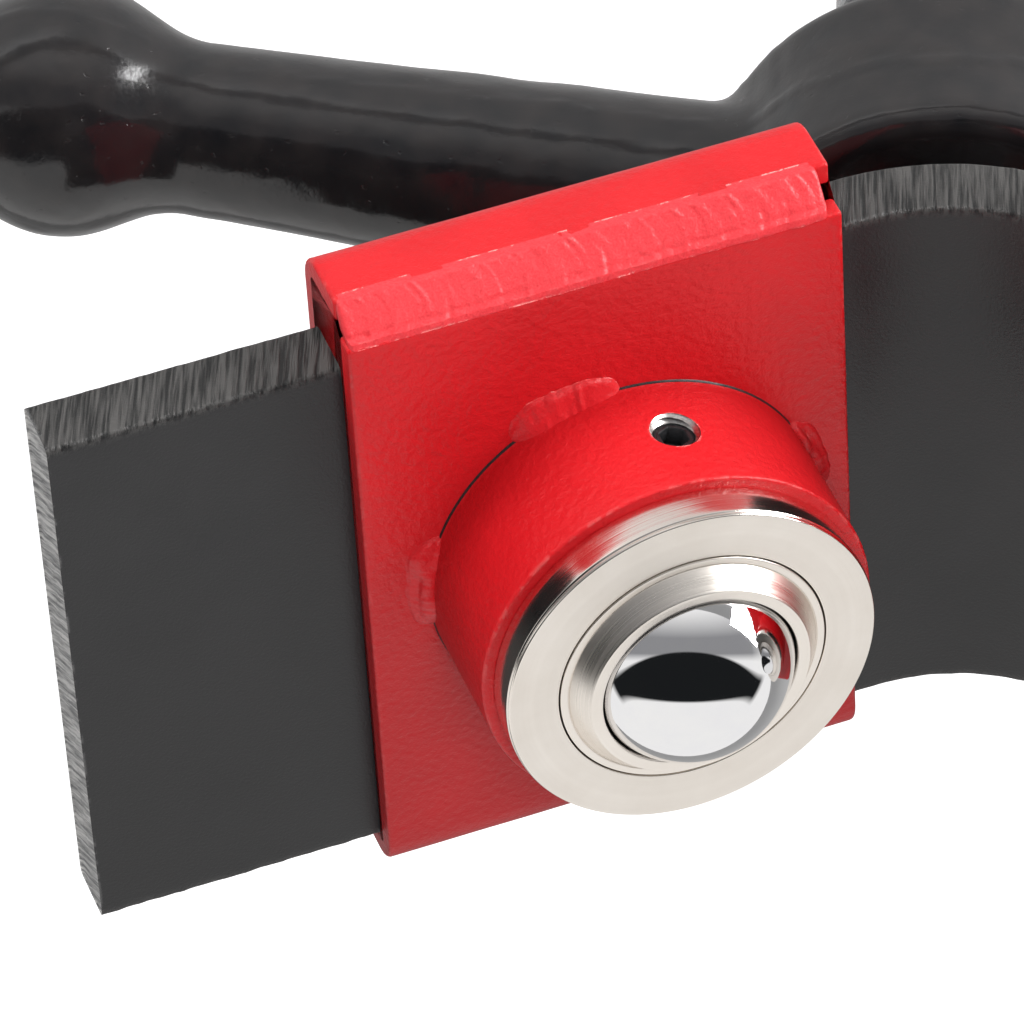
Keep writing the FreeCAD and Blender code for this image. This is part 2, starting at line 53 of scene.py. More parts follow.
# %% The frame of a sleeve
ARM = math.radians(22.3)
V_FLOOR = 238.5
BEND = 25.0
BAR = 8.5
STATION = 32.8
ARM_AXES = np.array([[math.cos(ARM), 0, math.sin(ARM)], [0, 1, 0], [-math.sin(ARM), 0, math.cos(ARM)]])
ARM_ORIGIN = np.array([-(BEND * math.sin(ARM) + STATION * math.cos(ARM)), 0,
                       V_FLOOR + BEND * (1 - math.cos(ARM)) + STATION * math.sin(ARM)])


def on_left(points):
    """Left arm: turn by the arm's axes, then add the arm's origin."""
    return points @ ARM_AXES.T + ARM_ORIGIN


def on_right(points):
    """Right arm: the left one turned half round, so x and y change sign."""
    return on_left(points) * np.array([-1, -1, 1])


def as_is(points):
    """Pieces drawn in the part's own frame stay where they are."""
    return points


SIDES = {"left": on_left, "right": on_right}
print("left sleeve's origin", ARM_ORIGIN.round(2))

# %% [markdown]
# Real surfaces are never quite flat. Smooth noise stands for weld lumps, casting skin and rolling marks.
# Random numbers sit on the corners of a lattice, and a point takes a blend of the eight around it. The
# numbers come from a fixed seed, so that every run makes the same surface.

# %% Smooth noise
LATTICE = np.random.default_rng(7).uniform(-1, 1, (32, 32, 32))


def noise(points, spacing, shift=0.0):
    """Corner values, each times the product of t or 1 - t along the axes, with t eased by 3t^2 - 2t^3."""
    place = points / spacing + 50.3 + shift
    cell = np.floor(place).astype(int)
    t = place - cell
    t = t * t * (3 - 2 * t)
    total = np.zeros(points.shape[:-1])
    for corner in itertools.product((0, 1), repeat=3):
        weight = np.where(corner, t, 1 - t).prod(axis=-1)
        i, j, k = np.moveaxis((cell + corner) % 32, -1, 0)
        total += weight * LATTICE[i, j, k]
    return total


def stacked(*parts):
    """Arrays that broadcast to one shape become the last axis, so that x, y and z make points."""
    return np.stack(np.broadcast_arrays(*parts), -1)


print("noise spans", LATTICE.min().round(2), LATTICE.max().round(2))

# %% [markdown]
# Every new piece is one or more grids of points. A grid may close on itself in either direction, like a
# tube or a ring, and its end rows may be filled. Equal points are merged, so seams and poles are closed,
# and the faces are turned outwards. Each vertex keeps its place in the piece's own frame, in millimetres,
# as an attribute that the finishes read.

# %% From grids to a piece
def weave(rows, columns, wrap_rows, wrap_columns):
    """Corner numbers of the quads: (i, j), (i, j+1), (i+1, j+1), (i+1, j), wrapping where the grid closes."""
    last_row, last_column = rows - (not wrap_rows), columns - (not wrap_columns)
    i, j = np.meshgrid(np.arange(last_row), np.arange(last_column), indexing="ij")
    i2, j2 = (i + 1) % rows, (j + 1) % columns
    return np.stack([i * columns + j, i * columns + j2, i2 * columns + j2, i2 * columns + j], -1).reshape(-1, 4)


def grid(points, wrap_rows=False, wrap_columns=True, fill=False, paint=0, keep=None, masks=None):
    """One patch: its points, its quads, filled end rows if asked, its material number and vertex masks."""
    rows, columns = points.shape[:2]
    quads = weave(rows, columns, wrap_rows, wrap_columns)
    if keep is not None:
        quads = quads[keep.reshape(-1)]
    faces = quads.tolist()
    if fill:
        faces += [list(range(columns)), list(range((rows - 1) * columns, rows * columns))]
    return {"points": points.reshape(-1, 3), "faces": faces, "paint": paint, "masks": masks or {}}


def mesh_from(name, patches, to_part):
    """One mesh: patches put together, moved into the part's frame, merged at equal points, faces outwards."""
    points, faces, paints = [], [], []
    for patch in patches:
        start = sum(len(p) for p in points)
        points.append(patch["points"])
        faces += [[start + c for c in face] for face in patch["faces"]]
        paints += [patch["paint"]] * len(patch["faces"])
    local = np.concatenate(points)
    mesh = bpy.data.meshes.new(name)
    mesh.from_pydata(to_part(local) * 0.001, [], faces)
    mesh.polygons.foreach_set("material_index", np.array(paints, np.int32))
    places = mesh.attributes.new("place", "FLOAT_VECTOR", "POINT")
    places.data.foreach_set("vector", local.astype(np.float32).ravel())
    for mask in sorted({m for patch in patches for m in patch["masks"]}):
        values = np.concatenate([np.broadcast_to(patch["masks"].get(mask, 0.0), len(patch["points"]))
                                 for patch in patches])
        mesh.attributes.new(mask, "FLOAT", "POINT").data.foreach_set("value", values.astype(np.float32))
    shell = bmesh.new()
    shell.from_mesh(mesh)
    bmesh.ops.remove_doubles(shell, verts=shell.verts, dist=2e-7)
    bmesh.ops.recalc_face_normals(shell, faces=shell.faces)
    shell.to_mesh(mesh)
    shell.free()
    return mesh


def piece(name, mesh, body, slot, finishes, *nodes, crease=40):
    """One finished object: smooth except across edges sharper than crease degrees, riding on its body."""
    mesh.shade_smooth()
    mesh.set_sharp_from_angle(angle=math.radians(crease))
    thing = bpy.data.objects.new(name, mesh)
    bpy.context.scene.collection.objects.link(thing)
    for finish in finishes:
        mesh.materials.append(finish)
    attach(thing, body)
    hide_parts(*nodes)
    triangles = sum(len(p.vertices) - 2 for p in mesh.polygons)
    print(f"{name:22s} {len(mesh.vertices):7d} points {triangles:7d} triangles")
    return thing


def pair(label, patches, body, slot, finishes, node_label, crease=40):
    """The same piece on both sleeves: each side's frame moves its points, and it rides on that side's body."""
    for side, to_part in SIDES.items():
        mesh = mesh_from(f"{side}_{label}", patches, to_part)
        piece(f"{side}_{label}", mesh, f"{side}_{body}", slot, finishes, f"{side}_{node_label}", crease=crease)


# %% [markdown]
# Most sections and profiles are polygons with rounded corners. The outline helper rounds each corner with
# an arc that touches both its sides, and divides the straight runs into steps.

# %% Rounded outlines
def outline(corners, step=1.0, arc=6, closed=True):
    """Each corner (a, b, radius) becomes an arc: centre on the bisector, at radius / sin(half the angle)."""
    flat = np.array(corners, float)
    count, runs = len(flat), []
    for i in range(count):
        here, radius = flat[i, :2], flat[i, 2]
        if radius == 0 or (not closed and i in (0, count - 1)):
            runs.append(here[None])
            continue
        u, v = flat[i - 1, :2] - here, flat[(i + 1) % count, :2] - here
        u, v = u / np.linalg.norm(u), v / np.linalg.norm(v)
        half = math.acos(np.clip(u @ v, -1, 1)) / 2
        centre = here + (u + v) / np.linalg.norm(u + v) * radius / math.sin(half)
        a, b = here + u * radius / math.tan(half) - centre, here + v * radius / math.tan(half) - centre
        t, swept = np.linspace(0, 1, arc + 1)[:, None], math.pi - 2 * half
        runs.append(centre + (np.sin((1 - t) * swept) * a + np.sin(t * swept) * b) / math.sin(swept))
    loop = np.concatenate(runs + ([runs[0][:1]] if closed else []))
    lengths = np.linalg.norm(np.diff(loop, axis=0), axis=1)
    pieces = [np.linspace(p, q, max(1, round(d / step)), endpoint=False)
              for p, q, d in zip(loop[:-1], loop[1:], lengths)]
    return np.concatenate(pieces + ([] if closed else [loop[-1:]]))


def outward(loop):
    """Unit normals of a closed outline: each chord (da, db) turned a quarter, to (db, -da), by its winding."""
    ahead = np.roll(loop, -1, axis=0) - np.roll(loop, 1, axis=0)
    area = (loop[:, 0] * np.roll(loop[:, 1], -1) - loop[:, 1] * np.roll(loop[:, 0], -1)).sum()
    normal = np.stack([ahead[:, 1], -ahead[:, 0]], -1) * np.sign(area)
    return normal / np.linalg.norm(normal, axis=1, keepdims=True)


def lathe(profile, rise=0.0, turns=240):
    """Point = (r cos a, rise + r sin a, z), for each (r, z) of the profile and each angle a."""
    a = np.linspace(0, 2 * math.pi, turns, endpoint=False)
    r, z = profile[:, :1], profile[:, 1:]
    return np.stack([r * np.cos(a), rise + r * np.sin(a), z + 0 * a], -1)


square = outline([(0, 0, 1), (10, 0, 1), (10, 10, 1), (0, 10, 1)])
print("a 10 mm square with 1 mm corners has", len(square), "points")

# %% [markdown]
# A finish starts as numbers on the Principled shader: colour, roughness, metal. What changes over the
# surface comes from small node trees. Four effects are shared by many finishes, so each of them is a node
# group: grain, streaks, turning marks and edge wear. A group only gives out a value, and the finish
# decides whether that value colours, roughens or lifts the surface.

# %% Building node trees
def node(tree, kind, inputs=None, **settings):
    """Adds one node. Each entry of inputs is a plain value for that socket, or a socket to link from."""
    new = tree.nodes.new(kind)
    for key, value in settings.items():
        setattr(new, key, value)
    for key, value in (inputs or {}).items():
        if isinstance(value, bpy.types.NodeSocket):
            tree.links.new(value, new.inputs[key])
        else:
            new.inputs[key].default_value = value
    return new


def effect(name, **inputs):
    """A node group with one float output, Value, and an input for each name; a tuple makes a vector input."""
    tree = bpy.data.node_groups.new(name, "ShaderNodeTree")
    for key, value in inputs.items():
        kind = "NodeSocketVector" if isinstance(value, tuple) else "NodeSocketFloat"
        tree.interface.new_socket(key, in_out="INPUT", socket_type=kind).default_value = value
    tree.interface.new_socket("Value", in_out="OUTPUT", socket_type="NodeSocketFloat")
    return tree, tree.nodes.new("NodeGroupInput").outputs, tree.nodes.new("NodeGroupOutput").inputs["Value"]


def ranged(tree, value, low, high, start=0.0, end=1.0, **settings):
    """value from start to end becomes low to high."""
    return node(tree, "ShaderNodeMapRange", {"Value": value, "From Min": start, "From Max": end,
                                             "To Min": low, "To Max": high}, **settings).outputs["Result"]


# %% The four shared effects
GRAIN, given, out = effect("grain", Place=(0.0, 0.0, 0.0), Size=1.0, Rough=0.5)
spread = node(GRAIN, "ShaderNodeVectorMath", {0: given["Place"], 1: given["Size"]}, operation="DIVIDE")
clouds = node(GRAIN, "ShaderNodeTexNoise", {"Vector": spread.outputs[0], "Scale": 1.0, "Detail": 4.0,
                                            "Roughness": given["Rough"]})
GRAIN.links.new(ranged(GRAIN, clouds.outputs["Fac"], 0.0, 1.0, 0.28, 0.72), out)

STREAKS, given, out = effect("streaks", Place=(0.0, 0.0, 0.0), Sizes=(1.0, 1.0, 1.0), Sharp=0.5)
spread = node(STREAKS, "ShaderNodeVectorMath", {0: given["Place"], 1: given["Sizes"]}, operation="DIVIDE")
lines = node(STREAKS, "ShaderNodeTexNoise", {"Vector": spread.outputs[0], "Scale": 1.0, "Detail": 3.0,
                                             "Roughness": 0.6})
thin = node(STREAKS, "ShaderNodeMath", {0: 1.0, 1: given["Sharp"]}, operation="SUBTRACT")
low = ranged(STREAKS, thin.outputs[0], 0.5, 0.3)
high = ranged(STREAKS, thin.outputs[0], 0.52, 0.7)
STREAKS.links.new(node(STREAKS, "ShaderNodeMapRange", {"Value": lines.outputs["Fac"], "From Min": low,
                                                       "From Max": high}).outputs["Result"], out)

TURNED, given, out = effect("turned", Place=(0.0, 0.0, 0.0), Rise=0.0, Pitch=0.15)
split = node(TURNED, "ShaderNodeSeparateXYZ", {0: given["Place"]})
level = node(TURNED, "ShaderNodeMath", {0: split.outputs["Y"], 1: given["Rise"]}, operation="SUBTRACT")
flat = node(TURNED, "ShaderNodeCombineXYZ", {"X": split.outputs["X"], "Y": level.outputs[0]})
far = node(TURNED, "ShaderNodeVectorMath", {0: flat.outputs[0]}, operation="LENGTH")
ring = node(TURNED, "ShaderNodeCombineXYZ", {"X": far.outputs["Value"], "Y": split.outputs["Z"]})
fine = node(TURNED, "ShaderNodeVectorMath", {0: ring.outputs[0], 1: given["Pitch"]}, operation="DIVIDE")
grooves = node(TURNED, "ShaderNodeTexNoise", {"Vector": fine.outputs[0], "Scale": 1.0, "Detail": 2.0},
               noise_dimensions="2D")
TURNED.links.new(ranged(TURNED, grooves.outputs["Fac"], 0.0, 1.0, 0.3, 0.7), out)

WEAR, given, out = effect("edge_wear", Reach=0.0006, Place=(0.0, 0.0, 0.0), Patch=3.0, Amount=0.5)
soft = node(WEAR, "ShaderNodeBevel", {"Radius": given["Reach"]}, samples=4)
true = node(WEAR, "ShaderNodeNewGeometry")
match = node(WEAR, "ShaderNodeVectorMath", {0: soft.outputs[0], 1: true.outputs["Normal"]},
             operation="DOT_PRODUCT")
edge = ranged(WEAR, match.outputs["Value"], 1.0, 0.0, 0.86, 0.995)
worn = node(WEAR, "ShaderNodeGroup", {"Place": given["Place"], "Size": given["Patch"], "Rough": 0.7},
            node_tree=GRAIN)
bare = node(WEAR, "ShaderNodeMath", {0: given["Amount"], 1: worn.outputs[0]}, operation="SUBTRACT")
patchy = ranged(WEAR, bare.outputs[0], 0.0, 1.0, -0.02, 0.12)
WEAR.links.new(node(WEAR, "ShaderNodeMath", {0: edge, 1: patchy}, operation="MULTIPLY").outputs[0], out)
print("shared effects:", [g.name for g in bpy.data.node_groups])


# %% Starting a finish
def finish(name, colour, roughness, metallic=0.0, **sockets):
    """A new material with these numbers on its shader: returns the material, its tree and the shader."""
    material = bpy.data.materials.new(name)
    material.use_nodes = True
    tree = material.node_tree
    shader = tree.nodes["Principled BSDF"]
    plain = {"Base Color": (*colour, 1), "Roughness": roughness, "Metallic": metallic, **sockets}
    for key, value in plain.items():
        shader.inputs[key].default_value = value
    material.diffuse_color = (*colour, 1)
    return material, tree, shader


def where(tree, own=True):
    """Place in millimetres: the piece's own attribute, or Object coordinates times 1000 on a frame node."""
    if own:
        return node(tree, "ShaderNodeAttribute", attribute_name="place").outputs["Vector"]
    plain = node(tree, "ShaderNodeTexCoord").outputs["Object"]
    return node(tree, "ShaderNodeMapping", {"Vector": plain, "Scale": (1000, 1000, 1000)}).outputs[0]


def use(tree, group, **inputs):
    """Places a shared effect with its own values and returns the value that it gives."""
    return node(tree, "ShaderNodeGroup", inputs, node_tree=group).outputs["Value"]


def speckle(tree, place, size, rough):
    """Grain of this size in millimetres."""
    return use(tree, GRAIN, Place=place, Size=size, Rough=rough)


def mixed(tree, factor, a, b):
    """Colour a where factor is 0 and b where it is 1; a and b are colours or sockets."""
    mix = node(tree, "ShaderNodeMix", {0: factor}, data_type="RGBA")
    for place, colour in ((6, a), (7, b)):
        if isinstance(colour, bpy.types.NodeSocket):
            tree.links.new(colour, mix.inputs[place])
        else:
            mix.inputs[place].default_value = (*colour, 1)
    return mix.outputs[2]


def feed(shader, socket, value):
    """Links a value that changes over the surface to one of the shader's sockets."""
    shader.id_data.links.new(value, shader.inputs[socket])


def relief(tree, shader, *layers):
    """Bumps in turn: each layer is (height value, depth in mm), and the last normal feeds the shader."""
    normal = None
    for height, depth in layers:
        bump = node(tree, "ShaderNodeBump", {"Height": height, "Distance": depth * 0.001, "Strength": 1.0})
        if normal is not None:
            tree.links.new(normal, bump.inputs["Normal"])
        normal = bump.outputs[0]
    tree.links.new(normal, shader.inputs["Normal"])


def attribute(tree, name):
    """A mask that a piece carries on its vertices."""
    return node(tree, "ShaderNodeAttribute", attribute_name=name).outputs["Fac"]


def times(tree, a, b, operation="MULTIPLY"):
    """One sum on two values."""
    return node(tree, "ShaderNodeMath", {0: a, 1: b}, operation=operation).outputs[0]


# %% [markdown]
# The bar is flat bar, cut to length, bent and sprayed satin black. The wide faces are smooth with a fine
# sprayed grain. The sheared edges keep the drag marks of the shear under a thin coat, so they look dark
# grey and rough. The sawn ends of the arms are bare, bright and scratched on the slant.

# %% Paint of the bar
black_paint, tree, shader = finish("black_paint", (0.012, 0.012, 0.013), 0.34, **{"Specular IOR Level": 0.42})
at = where(tree)
cut_edge = attribute(tree, "cut")
grain = speckle(tree, at, 0.35, 0.6)
cloudy = speckle(tree, at, 14.0, 0.5)
drag = use(tree, STREAKS, Place=at, Sizes=(0.5, 1.0, 9.0), Sharp=0.5)
worn = use(tree, WEAR, Reach=0.0005, Place=at, Patch=4.0, Amount=0.5)
paint = mixed(tree, cloudy, (0.008, 0.008, 0.009), (0.014, 0.014, 0.015))
steel = mixed(tree, drag, (0.008, 0.008, 0.008), (0.055, 0.053, 0.051))
covered = mixed(tree, cut_edge, paint, steel)
feed(shader, "Base Color", mixed(tree, worn, covered, (0.10, 0.10, 0.10)))
dull = times(tree, ranged(tree, cloudy, 0.26, 0.36), times(tree, cut_edge, 0.16), "ADD")
feed(shader, "Roughness", dull)
relief(tree, shader, (times(tree, drag, cut_edge), 0.10), (grain, 0.02))

bare_cut, tree, shader = finish("bare_cut", (0.6, 0.6, 0.6), 0.42, 0.9)
at = where(tree)
turn = node(tree, "ShaderNodeMapping", {"Vector": at, "Rotation": (math.radians(32), 0, 0)}).outputs[0]
saw = use(tree, STREAKS, Place=turn, Sizes=(4.0, 0.5, 14.0), Sharp=0.4)
cloudy = speckle(tree, at, 5.0, 0.6)
feed(shader, "Base Color", mixed(tree, saw, (0.22, 0.22, 0.225), (0.80, 0.79, 0.78)))
feed(shader, "Roughness", ranged(tree, cloudy, 0.3, 0.55))
relief(tree, shader, (saw, 0.12))
print("black paint and bare cut steel are mixed")

# %% [markdown]
# The sleeves are powder coated red. Powder flows into a skin like orange peel, a fraction of a millimetre
# high and about two millimetres wide, with a satin gloss. It is thin on sharp edges, where pale specks
# show. A light bump from grain gives the skin, and edge wear gives the specks.

# %% Powder coat
red_paint, tree, shader = finish("red_paint", (0.60, 0.010, 0.018), 0.36, **{"Specular IOR Level": 0.36})
at = where(tree)
peel = speckle(tree, at, 1.0, 0.45)
dust = speckle(tree, at, 0.25, 0.5)
cloudy = speckle(tree, at, 18.0, 0.5)
worn = use(tree, WEAR, Reach=0.0004, Place=at, Patch=2.2, Amount=0.46)
# On the welds the coat is mixed, by the weld mask, towards a lighter grained pink. This is a painted sheen: it
# stands for the pinkish highlight that strong light lays on the rough welds.
weld = attribute(tree, "weld")
coat = mixed(tree, cloudy, (0.42, 0.006, 0.009), (0.51, 0.009, 0.013))
weld_sheen = mixed(tree, dust, (0.56, 0.03, 0.04), (0.66, 0.07, 0.08))
coat = mixed(tree, times(tree, weld, 0.55), coat, weld_sheen)
feed(shader, "Base Color", mixed(tree, times(tree, worn, 0.7), coat, (0.85, 0.45, 0.42)))
feed(shader, "Roughness", ranged(tree, cloudy, 0.34, 0.42))
relief(tree, shader, (peel, 0.085), (dust, 0.014))
print("powder coat is mixed")

# %% [markdown]
# The housing and the cap ring are turned steel with a warm satin nickel plate. A lathe tool leaves rings
# that are finer than a tenth of a millimetre, and these stretch a highlight round the axis. The ball is
# bearing steel, polished to a mirror, with only the faintest handling marks.

# %% Nickel and polished steel
nickel, tree, shader = finish("nickel_plate", (0.85, 0.80, 0.74), 0.2, 1.0)
at = where(tree)
satin = attribute(tree, "satin")
rings = use(tree, TURNED, Place=at, Rise=1.7, Pitch=0.16)
broad = use(tree, TURNED, Place=at, Rise=1.7, Pitch=0.9)
smear = speckle(tree, at, 9.0, 0.6)
feed(shader, "Base Color", mixed(tree, smear, (0.84, 0.785, 0.72), (0.90, 0.85, 0.79)))
turned = ranged(tree, times(tree, rings, times(tree, broad, 0.5), "ADD"), 0.0, 0.10, 0.2, 1.2)
dull = times(tree, times(tree, satin, 0.26), times(tree, turned, 0.10, "ADD"), "ADD")
feed(shader, "Roughness", dull)
relief(tree, shader, (rings, 0.002), (broad, 0.004))

polished, tree, shader = finish("polished_steel", (0.86, 0.86, 0.87), 0.03, 1.0)
at = where(tree)
marks = use(tree, STREAKS, Place=at, Sizes=(0.25, 6.0, 3.0), Sharp=0.9)
haze = speckle(tree, at, 5.0, 0.6)
feed(shader, "Base Color", mixed(tree, haze, (0.84, 0.84, 0.86), (0.88, 0.88, 0.88)))
dull = times(tree, ranged(tree, haze, 0.02, 0.045), times(tree, marks, 0.012), "ADD")
feed(shader, "Roughness", dull)
relief(tree, shader, (haze, 0.0003))
print("nickel and polished steel are mixed")

# %% [markdown]
# The nut with its two handles is an iron casting under gloss black enamel. The enamel is smooth in itself
# but follows the lumps and pits of the sand mould. The screw is plated bright. Bearing cup, support balls,
# set screw and felt are small and mostly hidden, and have plainer finishes.

# %% Enamel, plate and the small finishes
casting, tree, shader = finish("black_casting", (0.008, 0.008, 0.009), 0.16, **{
    "Specular IOR Level": 0.5, "Coat Weight": 0.2, "Coat Roughness": 0.08})
at = where(tree)
lumps = speckle(tree, at, 4.5, 0.5)
pits = speckle(tree, at, 1.1, 0.5)
deep = ranged(tree, pits, 0.0, 1.0, 0.0, 0.10)
fine = speckle(tree, at, 0.5, 0.5)
feed(shader, "Base Color", mixed(tree, lumps, (0.006, 0.006, 0.007), (0.014, 0.012, 0.012)))
feed(shader, "Roughness", ranged(tree, fine, 0.12, 0.22))
relief(tree, shader, (lumps, 0.05), (deep, 0.03), (fine, 0.004))

zinc, tree, shader = finish("zinc_plate", (0.50, 0.505, 0.51), 0.24, 1.0)
at = where(tree)
bloom = speckle(tree, at, 3.0, 0.7)
fine = speckle(tree, at, 0.4, 0.6)
feed(shader, "Base Color", mixed(tree, bloom, (0.42, 0.425, 0.43), (0.56, 0.565, 0.57)))
feed(shader, "Roughness", ranged(tree, bloom, 0.22, 0.34))
relief(tree, shader, (fine, 0.006))

# Black oxide is the set screw's own finish. The same material also paints the socket's foot ring, as painted
# shade in the gap under it.
oxide_and_gap_shade, tree, shader = finish("black_oxide", (0.014, 0.014, 0.015), 0.35, 0.3)
fine = speckle(tree, where(tree), 0.3, 0.6)
feed(shader, "Base Color", mixed(tree, fine, (0.008, 0.008, 0.009), (0.03, 0.03, 0.032)))
feed(shader, "Roughness", ranged(tree, fine, 0.25, 0.5))

hard, tree, shader = finish("hard_steel", (0.5, 0.5, 0.51), 0.2, 1.0)
fine = speckle(tree, where(tree, own=False), 1.2, 0.6)
feed(shader, "Base Color", mixed(tree, fine, (0.42, 0.42, 0.43), (0.56, 0.56, 0.57)))
feed(shader, "Roughness", ranged(tree, fine, 0.14, 0.3))

felt, tree, shader = finish("felt", (0.02, 0.02, 0.02), 0.95)
fine = speckle(tree, where(tree, own=False), 0.3, 0.8)
feed(shader, "Base Color", mixed(tree, fine, (0.01, 0.01, 0.01), (0.05, 0.048, 0.045)))
relief(tree, shader, (fine, 0.1))
print("finishes:", len(bpy.data.materials))

# %% [markdown]
# The saddle bar is one section, a flat rectangle with small rolled corners, carried along a path: straight
# arm, bend, straight arm. Distance s along the inner face and depth d below it give any point of it. The
# shear left ridges across the cut edges, and the corners wander a little. The ends of the arms close with
# rows that shrink onto the section's middle line, so that their saw marks are real grid points too.

# %% The bent saddle bar
def on_bar(s, y, d):
    """Angle a = s / 25 up to the arm's 22.3 degrees, then straight on, and d below along the normal."""
    a = np.clip(s / BEND, -ARM, ARM)
    rest = s - BEND * a
    x = (BEND + d) * np.sin(a) + rest * np.cos(a)
    z = V_FLOOR + BEND - (BEND + d) * np.cos(a) + rest * np.sin(a)
    return np.stack([x, y + 0 * x, z], -1)


ARM_LENGTH, SAW_CUT = 99.8, 0.15
HALF_BAR = BEND * ARM + ARM_LENGTH
section = outline([(-38, 0, 0.7), (38, 0, 0.7), (38, BAR, 0.9), (-38, BAR, 0.9)], step=0.45, arc=4)
section = section[(np.abs(section[:, 0]) > 35) | (np.arange(len(section)) % 3 == 0)]
middle = np.stack([np.clip(section[:, 0], -33.8, 33.8), np.full(len(section), BAR / 2)], -1)
s = np.linspace(-HALF_BAR, HALF_BAR, 420)[:, None]
spot = stacked(s, section[:, 0], section[:, 1])
edge_face = np.clip((np.abs(section[:, 0]) - 36.6) / 1.2, 0, 1)
ridges = noise(spot * [1, 0.2, 0.12], 0.9) * 0.09 + noise(spot * [1, 0.3, 0.3], 2.6, 5) * 0.07 - 0.16
strong = 0.55 + 0.45 * noise(spot, 23, 9)
inward = outward(section) * (edge_face * (ridges * strong))[..., None]
inward += outward(section) * (noise(spot, 30, 3) * 0.05 - 0.05)[..., None]
body_rows = on_bar(s, section[:, 0] + inward[..., 0], section[:, 1] + inward[..., 1])
print("saddle bar's grid", body_rows.shape[:2], "from", -round(HALF_BAR, 2), "to", round(HALF_BAR, 2))


def arm_end(sign):
    """Rows from the section to its middle line, by share k: loop + k (middle - loop), set in by saw marks."""
    k = np.linspace(0, 1, 14)[:, None]
    y = section[:, 0] + k * (middle[:, 0] - section[:, 0])
    d = section[:, 1] + k * (middle[:, 1] - section[:, 1])
    saw = noise(np.stack([y * 0.5 + d * 0.9, d * 0.2, 0 * y], -1), 0.9) * 0.12 * np.minimum(1, k * 6)
    return on_bar(sign * (HALF_BAR - SAW_CUT - saw), y, d)


ends = [np.concatenate([row[None], arm_end(sign)[1:]])
        for sign, row in ((-1, body_rows[0]), (1, body_rows[-1]))]
bar_patches = [grid(body_rows, masks={"cut": np.broadcast_to(edge_face, spot.shape[:2]).ravel()})]
bar_patches += [grid(end, paint=1) for end in ends]
piece("saddle_bar", mesh_from("saddle_bar", bar_patches, as_is), "head", "black_paint",
      [black_paint, bare_cut], "v_bar")

# %% [markdown]
# A sleeve is a strip of 3 mm sheet folded round the bar, almost closed, with a weld along the seam where
# its two edges meet. Its section is one closed outline with tight inside and round outside corners. The
# outline is carried along the arm, and at both ends it is set in by a small arc, so that the cut edges
# catch the light. The outline then fills the end.

# %% The folded sleeves
SLEEVE_ENDS = (-31.6, 28.9)
fold = outline([(43.05, 0.3, 0.3), (-38.25, 0.3, 0.6), (-38.25, -8.8, 0.6), (44.35, -8.8, 0.6),
                (44.35, -0.7, 0.3), (47.35, -0.7, 0.6), (47.35, -11.8, 4.5), (-41.25, -11.8, 4.5),
                (-41.25, 3.3, 4.5), (43.05, 3.3, 0.6)],
               step=0.9, arc=8)
fold_out = outward(fold)
ROUNDING = 0.45


def sleeve_rows():
    """x from end to end; within 0.45 mm of an end the outline is set in by 0.45 - sqrt(0.45^2 - depth^2)."""
    depth = np.linspace(0, math.pi / 2, 5)
    inset = ROUNDING * (1 - np.sin(depth))
    first = SLEEVE_ENDS[0] + ROUNDING * (1 - np.cos(depth))
    last = SLEEVE_ENDS[1] - ROUNDING * (1 - np.cos(depth))
    inner = np.linspace(first[-1], last[-1], 64)[1:-1]
    x = np.concatenate([first, inner, last[::-1]])[:, None]
    sunk = np.concatenate([inset, 0 * inner, inset[::-1]])[:, None]
    spot = stacked(x, fold[:, 0], fold[:, 1])
    sunk = sunk + 0.03 - noise(spot, 6.0) * 0.03
    return np.stack([x + 0 * sunk, fold[:, 0] - sunk * fold_out[:, 0], fold[:, 1] - sunk * fold_out[:, 1]], -1)


pair("red_sleeve", [grid(sleeve_rows(), fill=True)], "adapter", "red_paint", [red_paint], "sleeve")

# %% [markdown]
# The seam is welded by hand along the whole sleeve. The weld fills the step between the two edges of the
# sheet as a band with two faces. Its surface froze in fine streaks that lean, with lumps where the weld
# began and a groove at its foot. At both ends the section shrinks onto its own centre and closes.

# %% The seam weld
def seam_band():
    """Section (y, z) along x: its outer sides are lifted by streaks that lean, lumps, and a rough start."""
    corners = [(47.36, -1.9, 0), (47.37, -0.6, 0.9), (43.5, 2.98, 0.5), (42.6, 3.3, 0.1), (42.8, 2.6, 0.2),
               (43.3, 0.0, 0.4), (46.4, -1.4, 0.3)]
    band = outline(corners, step=0.22, arc=5)
    out = outward(band)
    x = np.linspace(-31.45, 27.4, 430)[:, None]
    spot = stacked(x, band[:, 0], band[:, 1])
    lean = spot.copy()
    lean[..., 0] += 0.2 * (band[:, 0] - 45.4) ** 2 + 0.25 * (band[:, 0] - 45.4)
    facing = np.clip((out @ np.array([0.681, 0.732]) - 0.35) / 0.4, 0, 1)
    near_start = np.exp(-((x - 21.5) / 4.0) ** 2)
    streak = noise(lean * [1, 0.16, 0.16], 0.6, 2) * 0.085 + noise(lean * [1, 0.3, 0.3], 1.6, 6) * 0.07
    lump = noise(spot, 4.5, 8) * 0.10 + near_start * (noise(lean * [1, 0.5, 0.5], 1.8, 12) * 0.22 + 0.12)
    groove = -0.20 * np.exp(-((band[:, 0] - 44.0) / 0.3) ** 2) * (0.6 + 0.4 * noise(spot, 1.3, 4))
    lift = facing * (streak + lump + groove + 0.05)
    close = np.maximum(1 - np.abs((x + 2.025) / 29.425) ** 160, 0) ** 0.5
    centre = np.array([45.0, 0.4])
    loop = band + out * lift[..., None]
    loop = centre + (loop - centre) * close[..., None]
    loop[..., 0] = np.minimum(loop[..., 0], 47.34)
    return np.concatenate([np.broadcast_to(x[..., None], (*loop.shape[:2], 1)), loop], -1)


